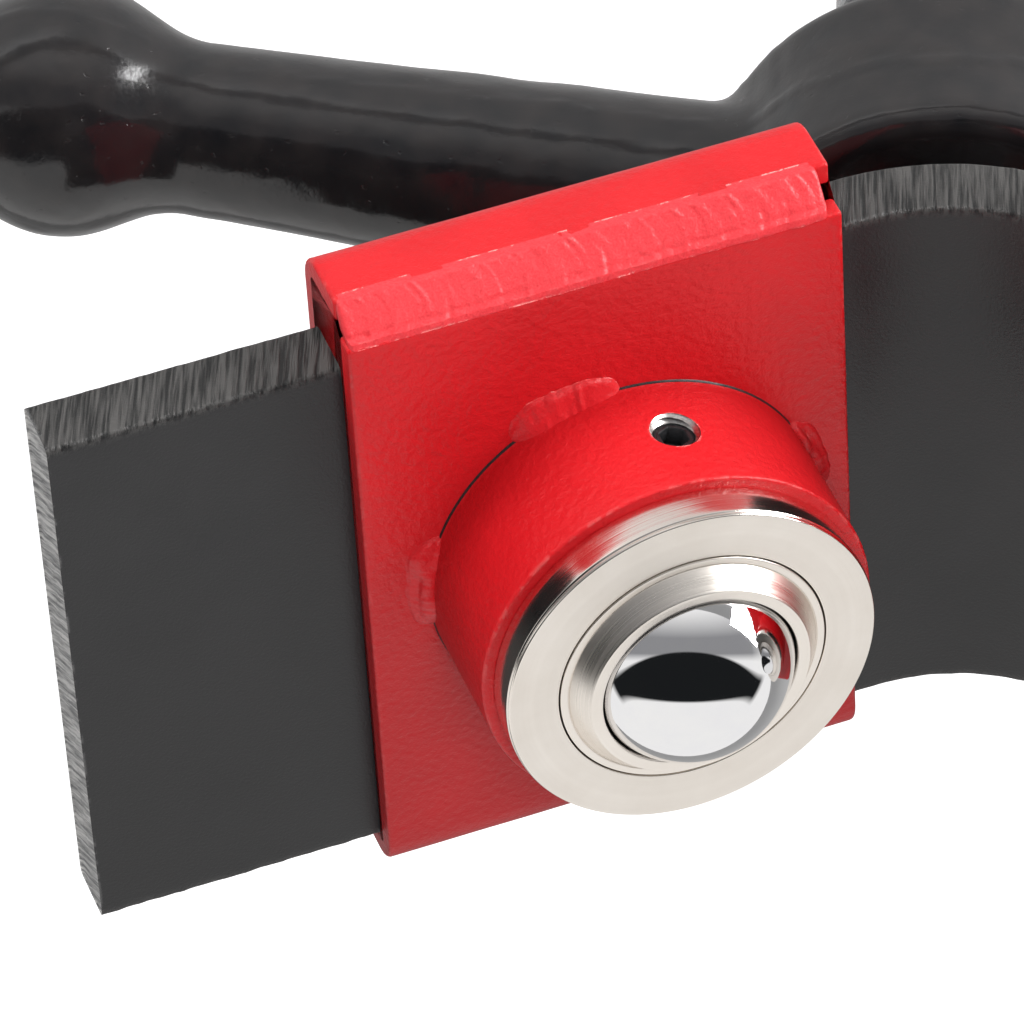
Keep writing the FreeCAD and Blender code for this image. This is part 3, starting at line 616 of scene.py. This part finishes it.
# The weld mask of 1 gives the seam band the full painted sheen, a lighter pink in the coat that stands for its
# highlight.
band_patch = grid(seam_band(), masks={"weld": 1.0})
pair("seam_bead", [band_patch], "adapter", "red_paint", [red_paint], "seam_weld", 60)

# %% [markdown]
# Four short tack welds hold each socket. A tack is a low fillet between the socket's wall and the plate.
# Streaks run across it, a small ridge follows its toe, and both legs shrink to nothing at its ends.

# %% The tack welds at the foot of a socket
SOCKET = 24.15
RISE = 1.7


def tack(start, span, wide, high, seed):
    """Share q down and t along: r = R + wide q c, z = 3.3 + high (1 - q) c, and c = (1 - (2t - 1)^4)^0.7."""
    t, q = np.linspace(0, 1, 130)[:, None], np.linspace(0, 1, 30)
    ends = noise(stacked(6 * t, 5 * q, seed + 0 * t), 1.7, seed)
    c = np.maximum(1 - np.abs(2 * t - 1) ** 4, 0) ** 0.7 * (1 + 0.25 * ends)
    run = math.radians(span) * SOCKET * t + 0.5 * q
    spot = stacked(run, 0.9 * q, 0 * t)
    lift = 0.16 * np.sin(math.pi * q) + 0.09 * np.exp(-((q - 0.80) / 0.07) ** 2)
    lift = (lift + 0.10 * noise(spot, 0.55, seed) + 0.12 * noise(spot, 1.6, seed + 4)) * c
    r = SOCKET - 0.25 + (wide + 0.25) * q * c + 0.5 * lift
    z = 3.1 + (high + 0.2) * (1 - q) * c + 0.8 * lift
    inside = np.broadcast_to([SOCKET - 1.0, 2.8], (len(t), 2))
    r, z = np.concatenate([r, inside[:, :1]], 1), np.concatenate([z, inside[:, 1:]], 1)
    a = np.radians(start + span * t)
    return np.stack([r * np.cos(a), RISE + r * np.sin(a), z], -1)


TACKS = [(-2, 30, 2.4, 1.6, 1), (88, 34, 4.2, 1.5, 12), (157, 33, 3.9, 1.8, 23), (258, 33, 4.0, 1.6, 34)]
# The weld mask of 0.15 gives the tacks a faint share of the painted sheen, the lighter pink that stands for
# light on the weld.
tack_patches = [grid(tack(*one), fill=True, masks={"weld": 0.15}) for one in TACKS]
pair("tack_welds", tack_patches, "adapter", "red_paint", [red_paint], "socket_welds", 60)

# %% [markdown]
# The socket is a short length of pipe with a threaded hole through one wall for the set screw. The outer
# and inner walls are grids in angle and height. A block of cells is left out of both round the hole, and a
# collar of rings joins the block's square edge to the hole's round one. The hole's own wall carries the
# thread, cut bright through the paint.

# %% The pipe socket and its threaded hole
BORE = 19.15
HOLE_TURN, HOLE_LEVEL, HOLE = math.radians(80), 12.0, 3.0
CELL, CELL_HIGH = math.radians(1.0), 0.7
SIDE_CELLS, HIGH_CELLS = 10, 6
heights = np.concatenate([[3.56], HOLE_LEVEL + CELL_HIGH * np.arange(-11, 13)])


def pipe_wall(r):
    """Point = (r cos a, 1.7 + r sin a, z), with a in steps of one degree from the hole's own angle."""
    a = HOLE_TURN + CELL * np.arange(360)
    return stacked(r * np.cos(a), RISE + r * np.sin(a), heights[:, None])


def clear_of_hole(points):
    """False for the quads inside the block of 20 by 12 cells round the hole."""
    rows, columns = points.shape[0] - 1, points.shape[1]
    i, j = np.meshgrid(np.arange(rows), np.arange(columns), indexing="ij")
    across = (j + columns // 2) % columns - columns // 2
    return ~((i >= 12 - HIGH_CELLS) & (i < 12 + HIGH_CELLS) & (across >= -SIDE_CELLS) & (across < SIDE_CELLS))


def block_edge():
    """The block's edge as (angle cells, height cells), once round."""
    w, h = SIDE_CELLS, HIGH_CELLS
    right, up = np.arange(-w, w), np.arange(-h, h)
    return np.concatenate([np.stack([right, 0 * right - h], -1), np.stack([0 * up + w, up], -1),
                           np.stack([-right, 0 * right + h], -1), np.stack([0 * up - w, -up], -1)])


def collar(r, rings=8):
    """Rings by share k from block edge to hole edge, in angle and height."""
    edge = block_edge()
    q = np.arctan2(edge[:, 1] * CELL_HIGH, edge[:, 0] * CELL * r)
    k = np.linspace(0, 1, rings)[:, None]
    sideways = HOLE * np.cos(q)
    a = HOLE_TURN + (1 - k) * edge[:, 0] * CELL + k * np.arcsin(sideways / r)
    z = HOLE_LEVEL + (1 - k) * edge[:, 1] * CELL_HIGH + k * HOLE * np.sin(q)
    return np.stack([r * np.cos(a), RISE + r * np.sin(a), z], -1), q


outer_collar, outer_angles = collar(SOCKET)
inner_collar, inner_angles = collar(BORE)
down = np.linspace(0, 1, 90)[:, None]
tooth = np.abs((down * 5.0 + outer_angles / (2 * math.pi)) % 1.0 - 0.5) * 2
thread = HOLE - 0.55 * tooth * np.minimum(1, np.minimum(down, 1 - down) * 14)
reach = np.sqrt(SOCKET ** 2 - (HOLE * np.cos(outer_angles)) ** 2) * (1 - down) \
    + np.sqrt(BORE ** 2 - (HOLE * np.cos(inner_angles)) ** 2) * down
swing = outer_angles * (1 - down) + inner_angles * down
HOLE_AXIS = np.array([math.cos(HOLE_TURN), math.sin(HOLE_TURN), 0])
BESIDE, LIFT = np.array([-math.sin(HOLE_TURN), math.cos(HOLE_TURN), 0]), np.array([0, 0, 1])
hole_wall = np.array([0, RISE, HOLE_LEVEL]) + reach[..., None] * HOLE_AXIS \
    + (thread * np.cos(swing))[..., None] * BESIDE + (thread * np.sin(swing))[..., None] * LIFT
print("threaded hole's wall", hole_wall.shape[:2])

# %% The socket's rim, foot and finish
top = outline([(SOCKET, 20.4, 0), (SOCKET, 21.3, 0.4), (BORE, 21.3, 0.5), (BORE, 20.4, 0)],
              step=0.35, arc=6, closed=False)
around = HOLE_TURN + CELL * np.arange(360)
rim = stacked(top[:, :1] * np.cos(around), RISE + top[:, :1] * np.sin(around), top[:, 1:])
jagged = 0.10 * noise(np.stack([9 * np.cos(around), 9 * np.sin(around), 0 * around], -1), 0.7)
# The foot is a thin chamfer where the socket meets the plate. It gets the black oxide finish as painted shade:
# a dark line that stands for the shadow in the gap between socket and plate.
low = np.array([(SOCKET, 3.56), (SOCKET + 0.16, 3.27), (BORE, 3.27), (BORE, 3.56)])
foot = stacked(low[:, :1] * np.cos(around), RISE + low[:, :1] * np.sin(around), low[:, 1:])
foot[1, :, 2] += np.abs(jagged)
walls = [pipe_wall(SOCKET), pipe_wall(BORE)]
socket_patches = [grid(wall, keep=clear_of_hole(wall)) for wall in walls]
# paint=2 puts the painted shade of black oxide on the foot ring.
socket_patches += [grid(outer_collar), grid(inner_collar), grid(rim), grid(foot, paint=2),
                   grid(hole_wall, paint=1)]
cut_thread, tree, shader = finish("cut_thread", (0.7, 0.7, 0.7), 0.3, 1.0)
fine = speckle(tree, where(tree), 0.5, 0.6)
feed(shader, "Base Color", mixed(tree, fine, (0.45, 0.40, 0.38), (0.85, 0.84, 0.82)))

pair("pipe_socket", socket_patches, "adapter", "red_paint", [red_paint, cut_thread, oxide_and_gap_shade], "socket_tube")

# %% [markdown]
# The set screw is a headless screw with a hexagon socket. Its outside is round and its socket has six
# sides, so the rings between the two turn from a circle into a hexagon by share.

# %% The set screw
def hexagon_reach(q, corner):
    """Along angle q: the flat's distance over the cosine of the angle from that flat's middle."""
    return corner * math.cos(math.pi / 6) / np.cos((q + math.pi / 6) % (math.pi / 3) - math.pi / 6)


def set_screw():
    """Rows of (radius, distance from the socket's axis); the last follow the hexagon to a cone's tip."""
    q = np.linspace(0, 2 * math.pi, 96, endpoint=False)
    hexagon = hexagon_reach(q, 1.73)
    shank = [(0.0, 18.2), (2.3, 18.2), (2.75, 18.7), (2.9, 19.1), (2.9, 22.5), (2.55, 23.0)]
    rows = [(r + 0 * q, level) for r, level in shank]
    rows += [(1.28 * hexagon, 23.15), (1.1 * hexagon, 23.1), (hexagon, 22.9), (hexagon, 20.75), (0 * q, 20.1)]
    radius, level = np.array([r for r, _ in rows]), np.array([[v] for _, v in rows])
    local = level[..., None] * HOLE_AXIS + (radius * np.cos(q))[..., None] * BESIDE
    return local + (radius * np.sin(q))[..., None] * LIFT + [0, RISE, HOLE_LEVEL]


pair("hex_screw", [grid(set_screw())], "adapter", "black_oxide", [oxide_and_gap_shade], "set_screw")

# %% [markdown]
# Housing, cap ring and washer are turned on a lathe: one profile swept round an axis. The profile's corners
# have the tiny roundings of a real tool, and these draw the thin bright lines where faces meet. The
# housing's flange is nearly a mirror at its side and satin on its face.

# %% The turned ball unit
CAP_FLOOR, FACE, BALL_LEVEL = 20.83, 26.23, 23.9
housing = outline([(0, 4.3, 0), (19, 4.3, 0.5), (19, 8.7, 0.2), (18.2, 8.7, 0.2), (18.2, 15.3, 0.2),
                   (19, 15.3, 0.2), (19, 21.3, 0.1), (22.8, 21.3, 0.25), (22.8, 25.55, 0.15),
                   (22.62, 25.75, 0.1), (22.74, 25.95, 0.06), (22.6, FACE, 0.12), (16.62, FACE, 0.1),
                   (16.52, FACE - 0.5, 0.05), (16.52, 6.3, 0.3), (0, 6.3, 0)],
                  step=0.5, arc=4, closed=False)
cap_corners = [(16.4, CAP_FLOOR, 0.2), (16.4, FACE + 0.06, 0.14), (15.48, FACE + 0.06, 0.06),
               (15.4, FACE - 0.12, 0.04), (15.28, FACE + 0.12, 0.06), (13.68, 28.72, 0.12),
               (13.55, 28.9, 0.08), (12.15, 28.9, 0.14), (12.05, 28.45, 0.1), (12.75, 26.13, 0.1),
               (14.6, 26.13, 0.1), (14.6, 23.13, 0.1), (12.95, 23.13, 0.1), (12.95, CAP_FLOOR, 0.1)]
cap_ring = outline(cap_corners, step=0.2, arc=4)


def satin_mask(profile, lowest):
    """1 on level faces above the given height, 0 on the flange's polished side."""
    steps = np.abs(np.gradient(profile[:, 0])) + 1e-9
    level = np.abs(np.gradient(profile[:, 1])) / steps < 0.2
    return np.repeat((level & (profile[:, 1] > lowest)).astype(float), 360)


turned_housing = grid(lathe(housing, RISE, 360), masks={"satin": satin_mask(housing, 25.5)})
pair("flanged_housing", [turned_housing], "adapter", "nickel_plate", [nickel], "ball_housing", 50)
turned_ring = grid(lathe(cap_ring, RISE, 360), wrap_rows=True, masks={"satin": 0.6})
pair("lipped_ring", [turned_ring], "adapter", "nickel_plate", [nickel], "cap_ring", 50)

# %% [markdown]
# A ball is a half circle swept round an axis, and its two poles are where such a grid pinches. The poles
# are put on the ball's side, under the ring, so that the mirror at the top is even.

# %% The load balls
def ball_points(radius, level):
    """Point = radius (sin u cos v, cos u, sin u sin v) about the ball's centre, with the poles along Y."""
    u, v = np.linspace(0, math.pi, 129)[:, None], np.linspace(0, 2 * math.pi, 256, endpoint=False)
    direction = np.stack([np.sin(u) * np.cos(v), np.cos(u) + 0 * v, np.sin(u) * np.sin(v)], -1)
    return radius * direction + np.array([0, RISE, level])


pair("mirror_ball", [grid(ball_points(12.7, BALL_LEVEL))], "ball", "polished_steel", [polished], "load_ball")

# %% [markdown]
# The lifting screw has a coarse trapezoid thread, 5.08 mm a turn. Rows of the grid climb with the thread,
# so a crest edge lies along a row and stays sharp. Rows that would pass the foot or the bar are held there,
# where they merge. At the top the screw is coped to the round under the V, and a weld bead runs round it.

# %% The lifting screw
PITCH, STEM = 5.08, 14.0


def under_bar(x):
    """Height of the bar's underside: the bend's arc of radius 33.5, then the straight arm."""
    r = BEND + BAR
    reach = np.minimum(np.abs(x), r * math.sin(ARM))
    return V_FLOOR + BEND - np.sqrt(r ** 2 - reach ** 2) + (np.abs(x) - reach) * math.tan(ARM)


def acme_thread():
    """Row i at angle a: z = (i / 24 + a / 2 pi) pitch; of 24 rows, 9 are crest, 3 flank, 9 root, 3 flank."""
    a = np.linspace(0, 2 * math.pi, 65)
    i = np.arange(-24, 24 * 46 + 1)[:, None]
    z = np.clip((i / 24 + a / (2 * math.pi)) * PITCH, 0, under_bar(STEM * np.cos(a)) - 0.02)
    phase = (z / PITCH - a / (2 * math.pi)) % 1.0 * 24
    ridge = np.interp(phase, [0, 9, 12, 21, 24], [1, 1, 0, 0, 1])
    r = STEM - 2.54 * (1 - ridge)
    r = np.minimum(r, 12.0 + z)
    r = np.where((z > 28) & (z < 31), np.minimum(r, 12.5), r)
    tube = np.stack([r * np.cos(a), r * np.sin(a), z], -1)
    foot = np.zeros((1, 65, 3))
    head = foot + [0, 0, under_bar(0.0) - 0.02]
    return np.concatenate([foot, tube, head])


screw_mesh = mesh_from("threaded_stem", [grid(acme_thread(), wrap_columns=False)], as_is)
piece("threaded_stem", screw_mesh, "head", "zinc_plate", [zinc], "acme_screw", crease=30)

# %% The bead round the screw's head
def head_bead():
    """Round section (lump cos q, lump sin q) on the circle where screw meets bar; 44 ripples swell the lump."""
    turn = np.linspace(0, 2 * math.pi, 240, endpoint=False)
    q = np.linspace(0, 2 * math.pi, 24, endpoint=False)[:, None]
    ripple = 0.06 * ((turn * 22 / math.pi) % 1)
    lump = 1.42 + 0.10 * noise(np.stack([6 * np.cos(turn), 6 * np.sin(turn), 0 * turn], -1), 0.9) + ripple
    r = STEM + 0.55 + lump * np.cos(q)
    z = under_bar(STEM * np.cos(turn)) - 0.55 + lump * np.sin(q)
    return stacked(r * np.cos(turn), r * np.sin(turn), z)


bead_mesh = mesh_from("head_bead", [grid(head_bead(), wrap_rows=True, masks={"cut": 0.0})], as_is)
piece("head_bead", bead_mesh, "head", "black_paint", [black_paint], "head_weld", crease=60)

# %% The thrust washer
washer = outline([(14.1, 181.75, 0.2), (23.5, 181.75, 0.3), (23.5, 184.25, 0.3), (14.1, 184.25, 0.2)],
                 step=0.6, arc=3)
washer_mesh = mesh_from("plated_washer", [grid(lathe(washer), wrap_rows=True)], as_is)
piece("plated_washer", washer_mesh, "nut_washer", "hard_steel", [zinc], "thrust_washer")

# %% [markdown]
# The handled nut is one casting: a hub, two tapering arms and a round grip at the end of each. Cast shapes
# flow into each other through fillets. They are blended as distances: each simple shape knows how far
# away a point is, and a smooth minimum of those distances rounds every join. A rough mesh of the joined
# shapes, remeshed into even cells, is then pulled onto the surface where the blended distance is zero.

# %% Distances of the casting
NUT = {"hub": (28.7, 184.3, 211.3), "boss": (19.5, 200.0, 212.2), "axis": 201.1, "ball": (110.6, 16.1)}


def turned_distance(points, radius, bottom, top, low_round, high_round):
    """Rounded disc: in (r, z), the length of what sticks out of the inner box, less the rounding."""
    r, z = np.hypot(points[:, 0], points[:, 1]), points[:, 2] - (bottom + top) / 2
    rounding = np.where(z > 0, high_round, low_round)
    dr, dz = r - radius + rounding, np.abs(z) - (top - bottom) / 2 + rounding
    return np.hypot(np.maximum(dr, 0), np.maximum(dz, 0)) + np.minimum(np.maximum(dr, dz), 0) - rounding


def joined(a, b, soft):
    """Smooth minimum: min(a, b) - h^2 soft / 4, with h = max(1 - |a - b| / soft, 0)."""
    h = np.maximum(1 - np.abs(a - b) / soft, 0)
    return np.minimum(a, b) - h * h * soft / 4


def handle_axis(yaw):
    """Unit vector of a handle: yaw about the screw, drooping by 7.5 degrees."""
    yaw, droop = math.radians(yaw), math.radians(7.5)
    return np.array([math.cos(yaw) * math.cos(droop), math.sin(yaw) * math.cos(droop), -math.sin(droop)])


HANDLES = [handle_axis(174), handle_axis(-6)]


def casting_distance(points):
    """Hub and boss, joined to tapering arms and grips, less the bore, then moved by parting line and skin."""
    boss = turned_distance(points, *NUT["boss"], 1.0, 0.8)
    shape = joined(turned_distance(points, *NUT["hub"], 2.9, 3.6), boss, 0.8)
    for axis in HANDLES:
        start = points - [0, 0, NUT["axis"]]
        t = np.clip(start @ axis, 12, NUT["ball"][0])
        away = np.linalg.norm(start - t[:, None] * axis, axis=1)
        arm = away - (13.5 + (t - 17) / (NUT["ball"][0] - 17) * (10.3 - 13.5))
        grip = np.linalg.norm(start - NUT["ball"][0] * axis, axis=1) - NUT["ball"][1]
        shape = joined(shape, joined(arm, grip, 4.5), 3.5)
    height = points[:, 2] - 200.5 + 0.12 * np.abs(points[:, 0]) + 0.9 * noise(points * [1, 1, 0], 3.5, 2)
    parting = 0.20 * np.exp(-(height / 0.45) ** 2)
    near_root = np.exp(-((np.abs(points[:, 0]) - 25.0) / 5.0) ** 2)
    draws = near_root * 0.22 * np.maximum(noise(points * [1, 0.4, 0.02], 1.3, 9) + 0.1, 0)
    skin = 0.14 * noise(points, 7.0) + 0.05 * noise(points, 2.6, 4) + draws - 0.24
    return np.maximum(shape - skin - parting, 14.12 - np.hypot(points[:, 0], points[:, 1]))


# %% Growing the casting
def pulled(points, distance, steps=6):
    """Moves each point along the gradient g of the distance f by f g / |g|^2, a few times."""
    nudge = 0.02
    for _ in range(steps):
        here = distance(points)
        slope = np.stack([distance(points + nudge * e) - here for e in np.eye(3)], -1) / nudge
        steep = np.maximum((slope ** 2).sum(-1, keepdims=True), 0.05)
        points = points - np.clip(here, -1, 1)[:, None] * slope / steep
    return points


def sweep(start, end, radii):
    """A closed tube from start to end: circles of the given radii in the plane across it."""
    along_it = (end - start) / np.linalg.norm(end - start)
    u = np.cross(along_it, [0, 0, 1.0])
    u /= np.linalg.norm(u)
    v, q = np.cross(along_it, u), np.linspace(0, 2 * math.pi, 32, endpoint=False)
    share = np.linspace(0, 1, len(radii))[:, None, None]
    ring = np.cos(q)[:, None] * u + np.sin(q)[:, None] * v
    return start + share * (end - start) + np.array(radii)[:, None, None] * ring


crossing = np.array([0, 0, NUT["axis"]])
hub = outline([(14.1, 184.3, 0), (28.2, 184.3, 2), (28.5, 211.2, 4), (19.4, 211.3, 0), (19.4, 212, 0),
               (14.1, 212, 0)], step=3)
shapes = [grid(lathe(hub, turns=96), wrap_rows=True)]
for axis in HANDLES:
    radii = [0, 12.6, 12.4, 11.8, 11, 10.4, 0]
    shapes.append(grid(sweep(crossing + 15.5 * axis, crossing + 108 * axis, radii)))
    centre = crossing + NUT["ball"][0] * axis
    shapes.append(grid(ball_points(NUT["ball"][1], 0) - [0, RISE, 0] + centre))
blank = bpy.data.objects.new("casting_blank", mesh_from("casting_blank", shapes, as_is))
bpy.context.scene.collection.objects.link(blank)
cells = blank.modifiers.new("cells", "REMESH")
cells.mode, cells.voxel_size, cells.adaptivity = "VOXEL", 0.00085, 0.0
even = bpy.data.meshes.new_from_object(blank.evaluated_get(bpy.context.evaluated_depsgraph_get()))
bpy.data.objects.remove(blank)
cloud = np.zeros(len(even.vertices) * 3, np.float32)
even.vertices.foreach_get("co", cloud)
print("remeshed casting", len(even.vertices), "points")

# %% The finished casting
skin = pulled(cloud.reshape(-1, 3).astype(float) * 1000, casting_distance)
even.vertices.foreach_set("co", (skin * 0.001).astype(np.float32).ravel())
places = even.attributes.new("place", "FLOAT_VECTOR", "POINT")
places.data.foreach_set("vector", skin.astype(np.float32).ravel())
even.update()
piece("cast_nut", even, "nut", "black_casting", [casting], "handle_nut", crease=70)

# %% [markdown]
# The bearing cup, its support balls and the felt wiper are deep inside. Their measured solids are right as
# they are, and only get a finish.

# %% Finishes for the hidden parts
for name, made_of in {"bearing_cup": hard, "support_balls": polished, "felt_seal": felt}.items():
    for side in SIDES:
        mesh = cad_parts[f"{side}_{name}"].data
        mesh.materials.clear()
        mesh.materials.append(made_of)
    print(name, "gets", made_of.name)

# %% [markdown]
# The part stands on a plain white floor inside a white light tent. Polished steel shows whatever is around
# it, so the tent has the dark oval opening that a lens looks through, and a grey zone above it. The world's
# colour is worked out from the direction alone: its shares u, v and w along three fixed axes of the room.

# %% Floor and tent
floor_mesh = bpy.data.meshes.new("floor")
floor_mesh.from_pydata([(-6, -6, 0), (6, -6, 0), (6, 6, 0), (-6, 6, 0)], [], [(0, 1, 2, 3)])
floor = bpy.data.objects.new("floor", floor_mesh)
bpy.context.scene.collection.objects.link(floor)
white, tree, shader = finish("white_floor", (0.55, 0.55, 0.55), 0.9)
shader.inputs["Emission Strength"].default_value = 1.0
seen = node(tree, "ShaderNodeLightPath").outputs["Is Camera Ray"]
tree.links.new(mixed(tree, seen, (0.06, 0.06, 0.06), (0.9, 0.9, 0.9)), shader.inputs["Emission Color"])
floor_mesh.materials.append(white)

ACROSS, UP, BACK = (0.99817, -0.04953, -0.0346), (0.01258, 0.73045, -0.68285), (0.0591, 0.68117, 0.72974)
world = bpy.data.worlds.new("studio")
world.use_nodes = True
tree = world.node_tree
way = node(tree, "ShaderNodeTexCoord").outputs["Generated"]
u, v, w = [node(tree, "ShaderNodeVectorMath", {0: way, 1: axis}, operation="DOT_PRODUCT").outputs["Value"]
           for axis in (ACROSS, UP, BACK)]
wide = times(tree, u, 0.98, "DIVIDE")
high = times(tree, times(tree, v, 0.36, "ADD"), 0.42, "DIVIDE")
lens = times(tree, times(tree, wide, wide), times(tree, high, high), "ADD")
opening = times(tree, ranged(tree, lens, 1.0, 0.0, 0.92, 1.05), ranged(tree, w, 0.0, 1.0, -0.1, 0.0))
above = times(tree, ranged(tree, v, 0.0, 1.0, -0.1, 0.02), ranged(tree, v, 1.0, 0.0, 0.3, 0.75))
grey = times(tree, above, ranged(tree, w, 0.0, 1.0, -0.1, 0.3))
tent = mixed(tree, grey, (1.0, 0.99, 0.98), (0.3, 0.3, 0.31))
backdrop = mixed(tree, opening, tent, (0.012, 0.013, 0.014))
studio = tree.nodes["Background"]
tree.links.new(backdrop, studio.inputs["Color"])
studio.inputs["Strength"].default_value = 0.95
bpy.context.scene.world = world


print("world", world.name, "strength", studio.inputs["Strength"].default_value)

# %% [markdown]
# Three soft panels do the lighting. The one beside the right arm also shows in the polished parts, as a
# window of light. The other two brighten the welded sides and the top, and are hidden from mirrors. The
# camera looks down on the left sleeve through a long lens, with the screw's foot towards the top.

# %% Lamps and camera
def matrix(x, y, z, place):
    """The 4 x 4 matrix whose columns are three axes and a place, in Blender's own kind."""
    return Matrix(np.vstack([np.stack([x, y, z, place], -1), [0, 0, 0, 1]]).tolist())


def panel(name, place, width, height, power, target=(-0.03, 0, 0.25)):
    """A soft rectangular lamp that faces the target."""
    lamp = bpy.data.lights.new(name, "AREA")
    lamp.shape, lamp.size, lamp.size_y, lamp.energy = "RECTANGLE", width, height, power
    thing = bpy.data.objects.new(name, lamp)
    bpy.context.scene.collection.objects.link(thing)
    place, target = np.array(place, float), np.array(target, float)
    back = (place - target) / np.linalg.norm(place - target)
    side = np.cross([0, 0, 1], back) if abs(back[2]) < 0.99 else np.array([1.0, 0, 0])
    side /= np.linalg.norm(side)
    thing.matrix_world = matrix(side, np.cross(back, side), back, place)
    return thing


panel("side_light", (0.77, 0.40, 0.17), 0.55, 0.30, 10)
panel("front_light", (-0.50, 0.78, 0.20), 0.9, 0.22, 8).visible_glossy = False
panel("fill_light", (0.02, 0.22, 0.56), 0.15, 0.15, 1.0).visible_glossy = False
print("lamps", [lamp.name for lamp in bpy.data.lights])

camera = bpy.data.cameras.new("camera")
camera.lens, camera.sensor_width, camera.clip_start, camera.clip_end = 282.1, 36, 0.01, 50
eye = bpy.data.objects.new("camera", camera)
bpy.context.scene.collection.objects.link(eye)
eye.matrix_world = matrix(ACROSS, UP, BACK, (0.0043, 0.64842, 0.94325))
bpy.context.scene.camera = eye
bpy.context.scene.view_settings.view_transform = "Standard"
print("camera lens", round(camera.lens, 1), "mm")
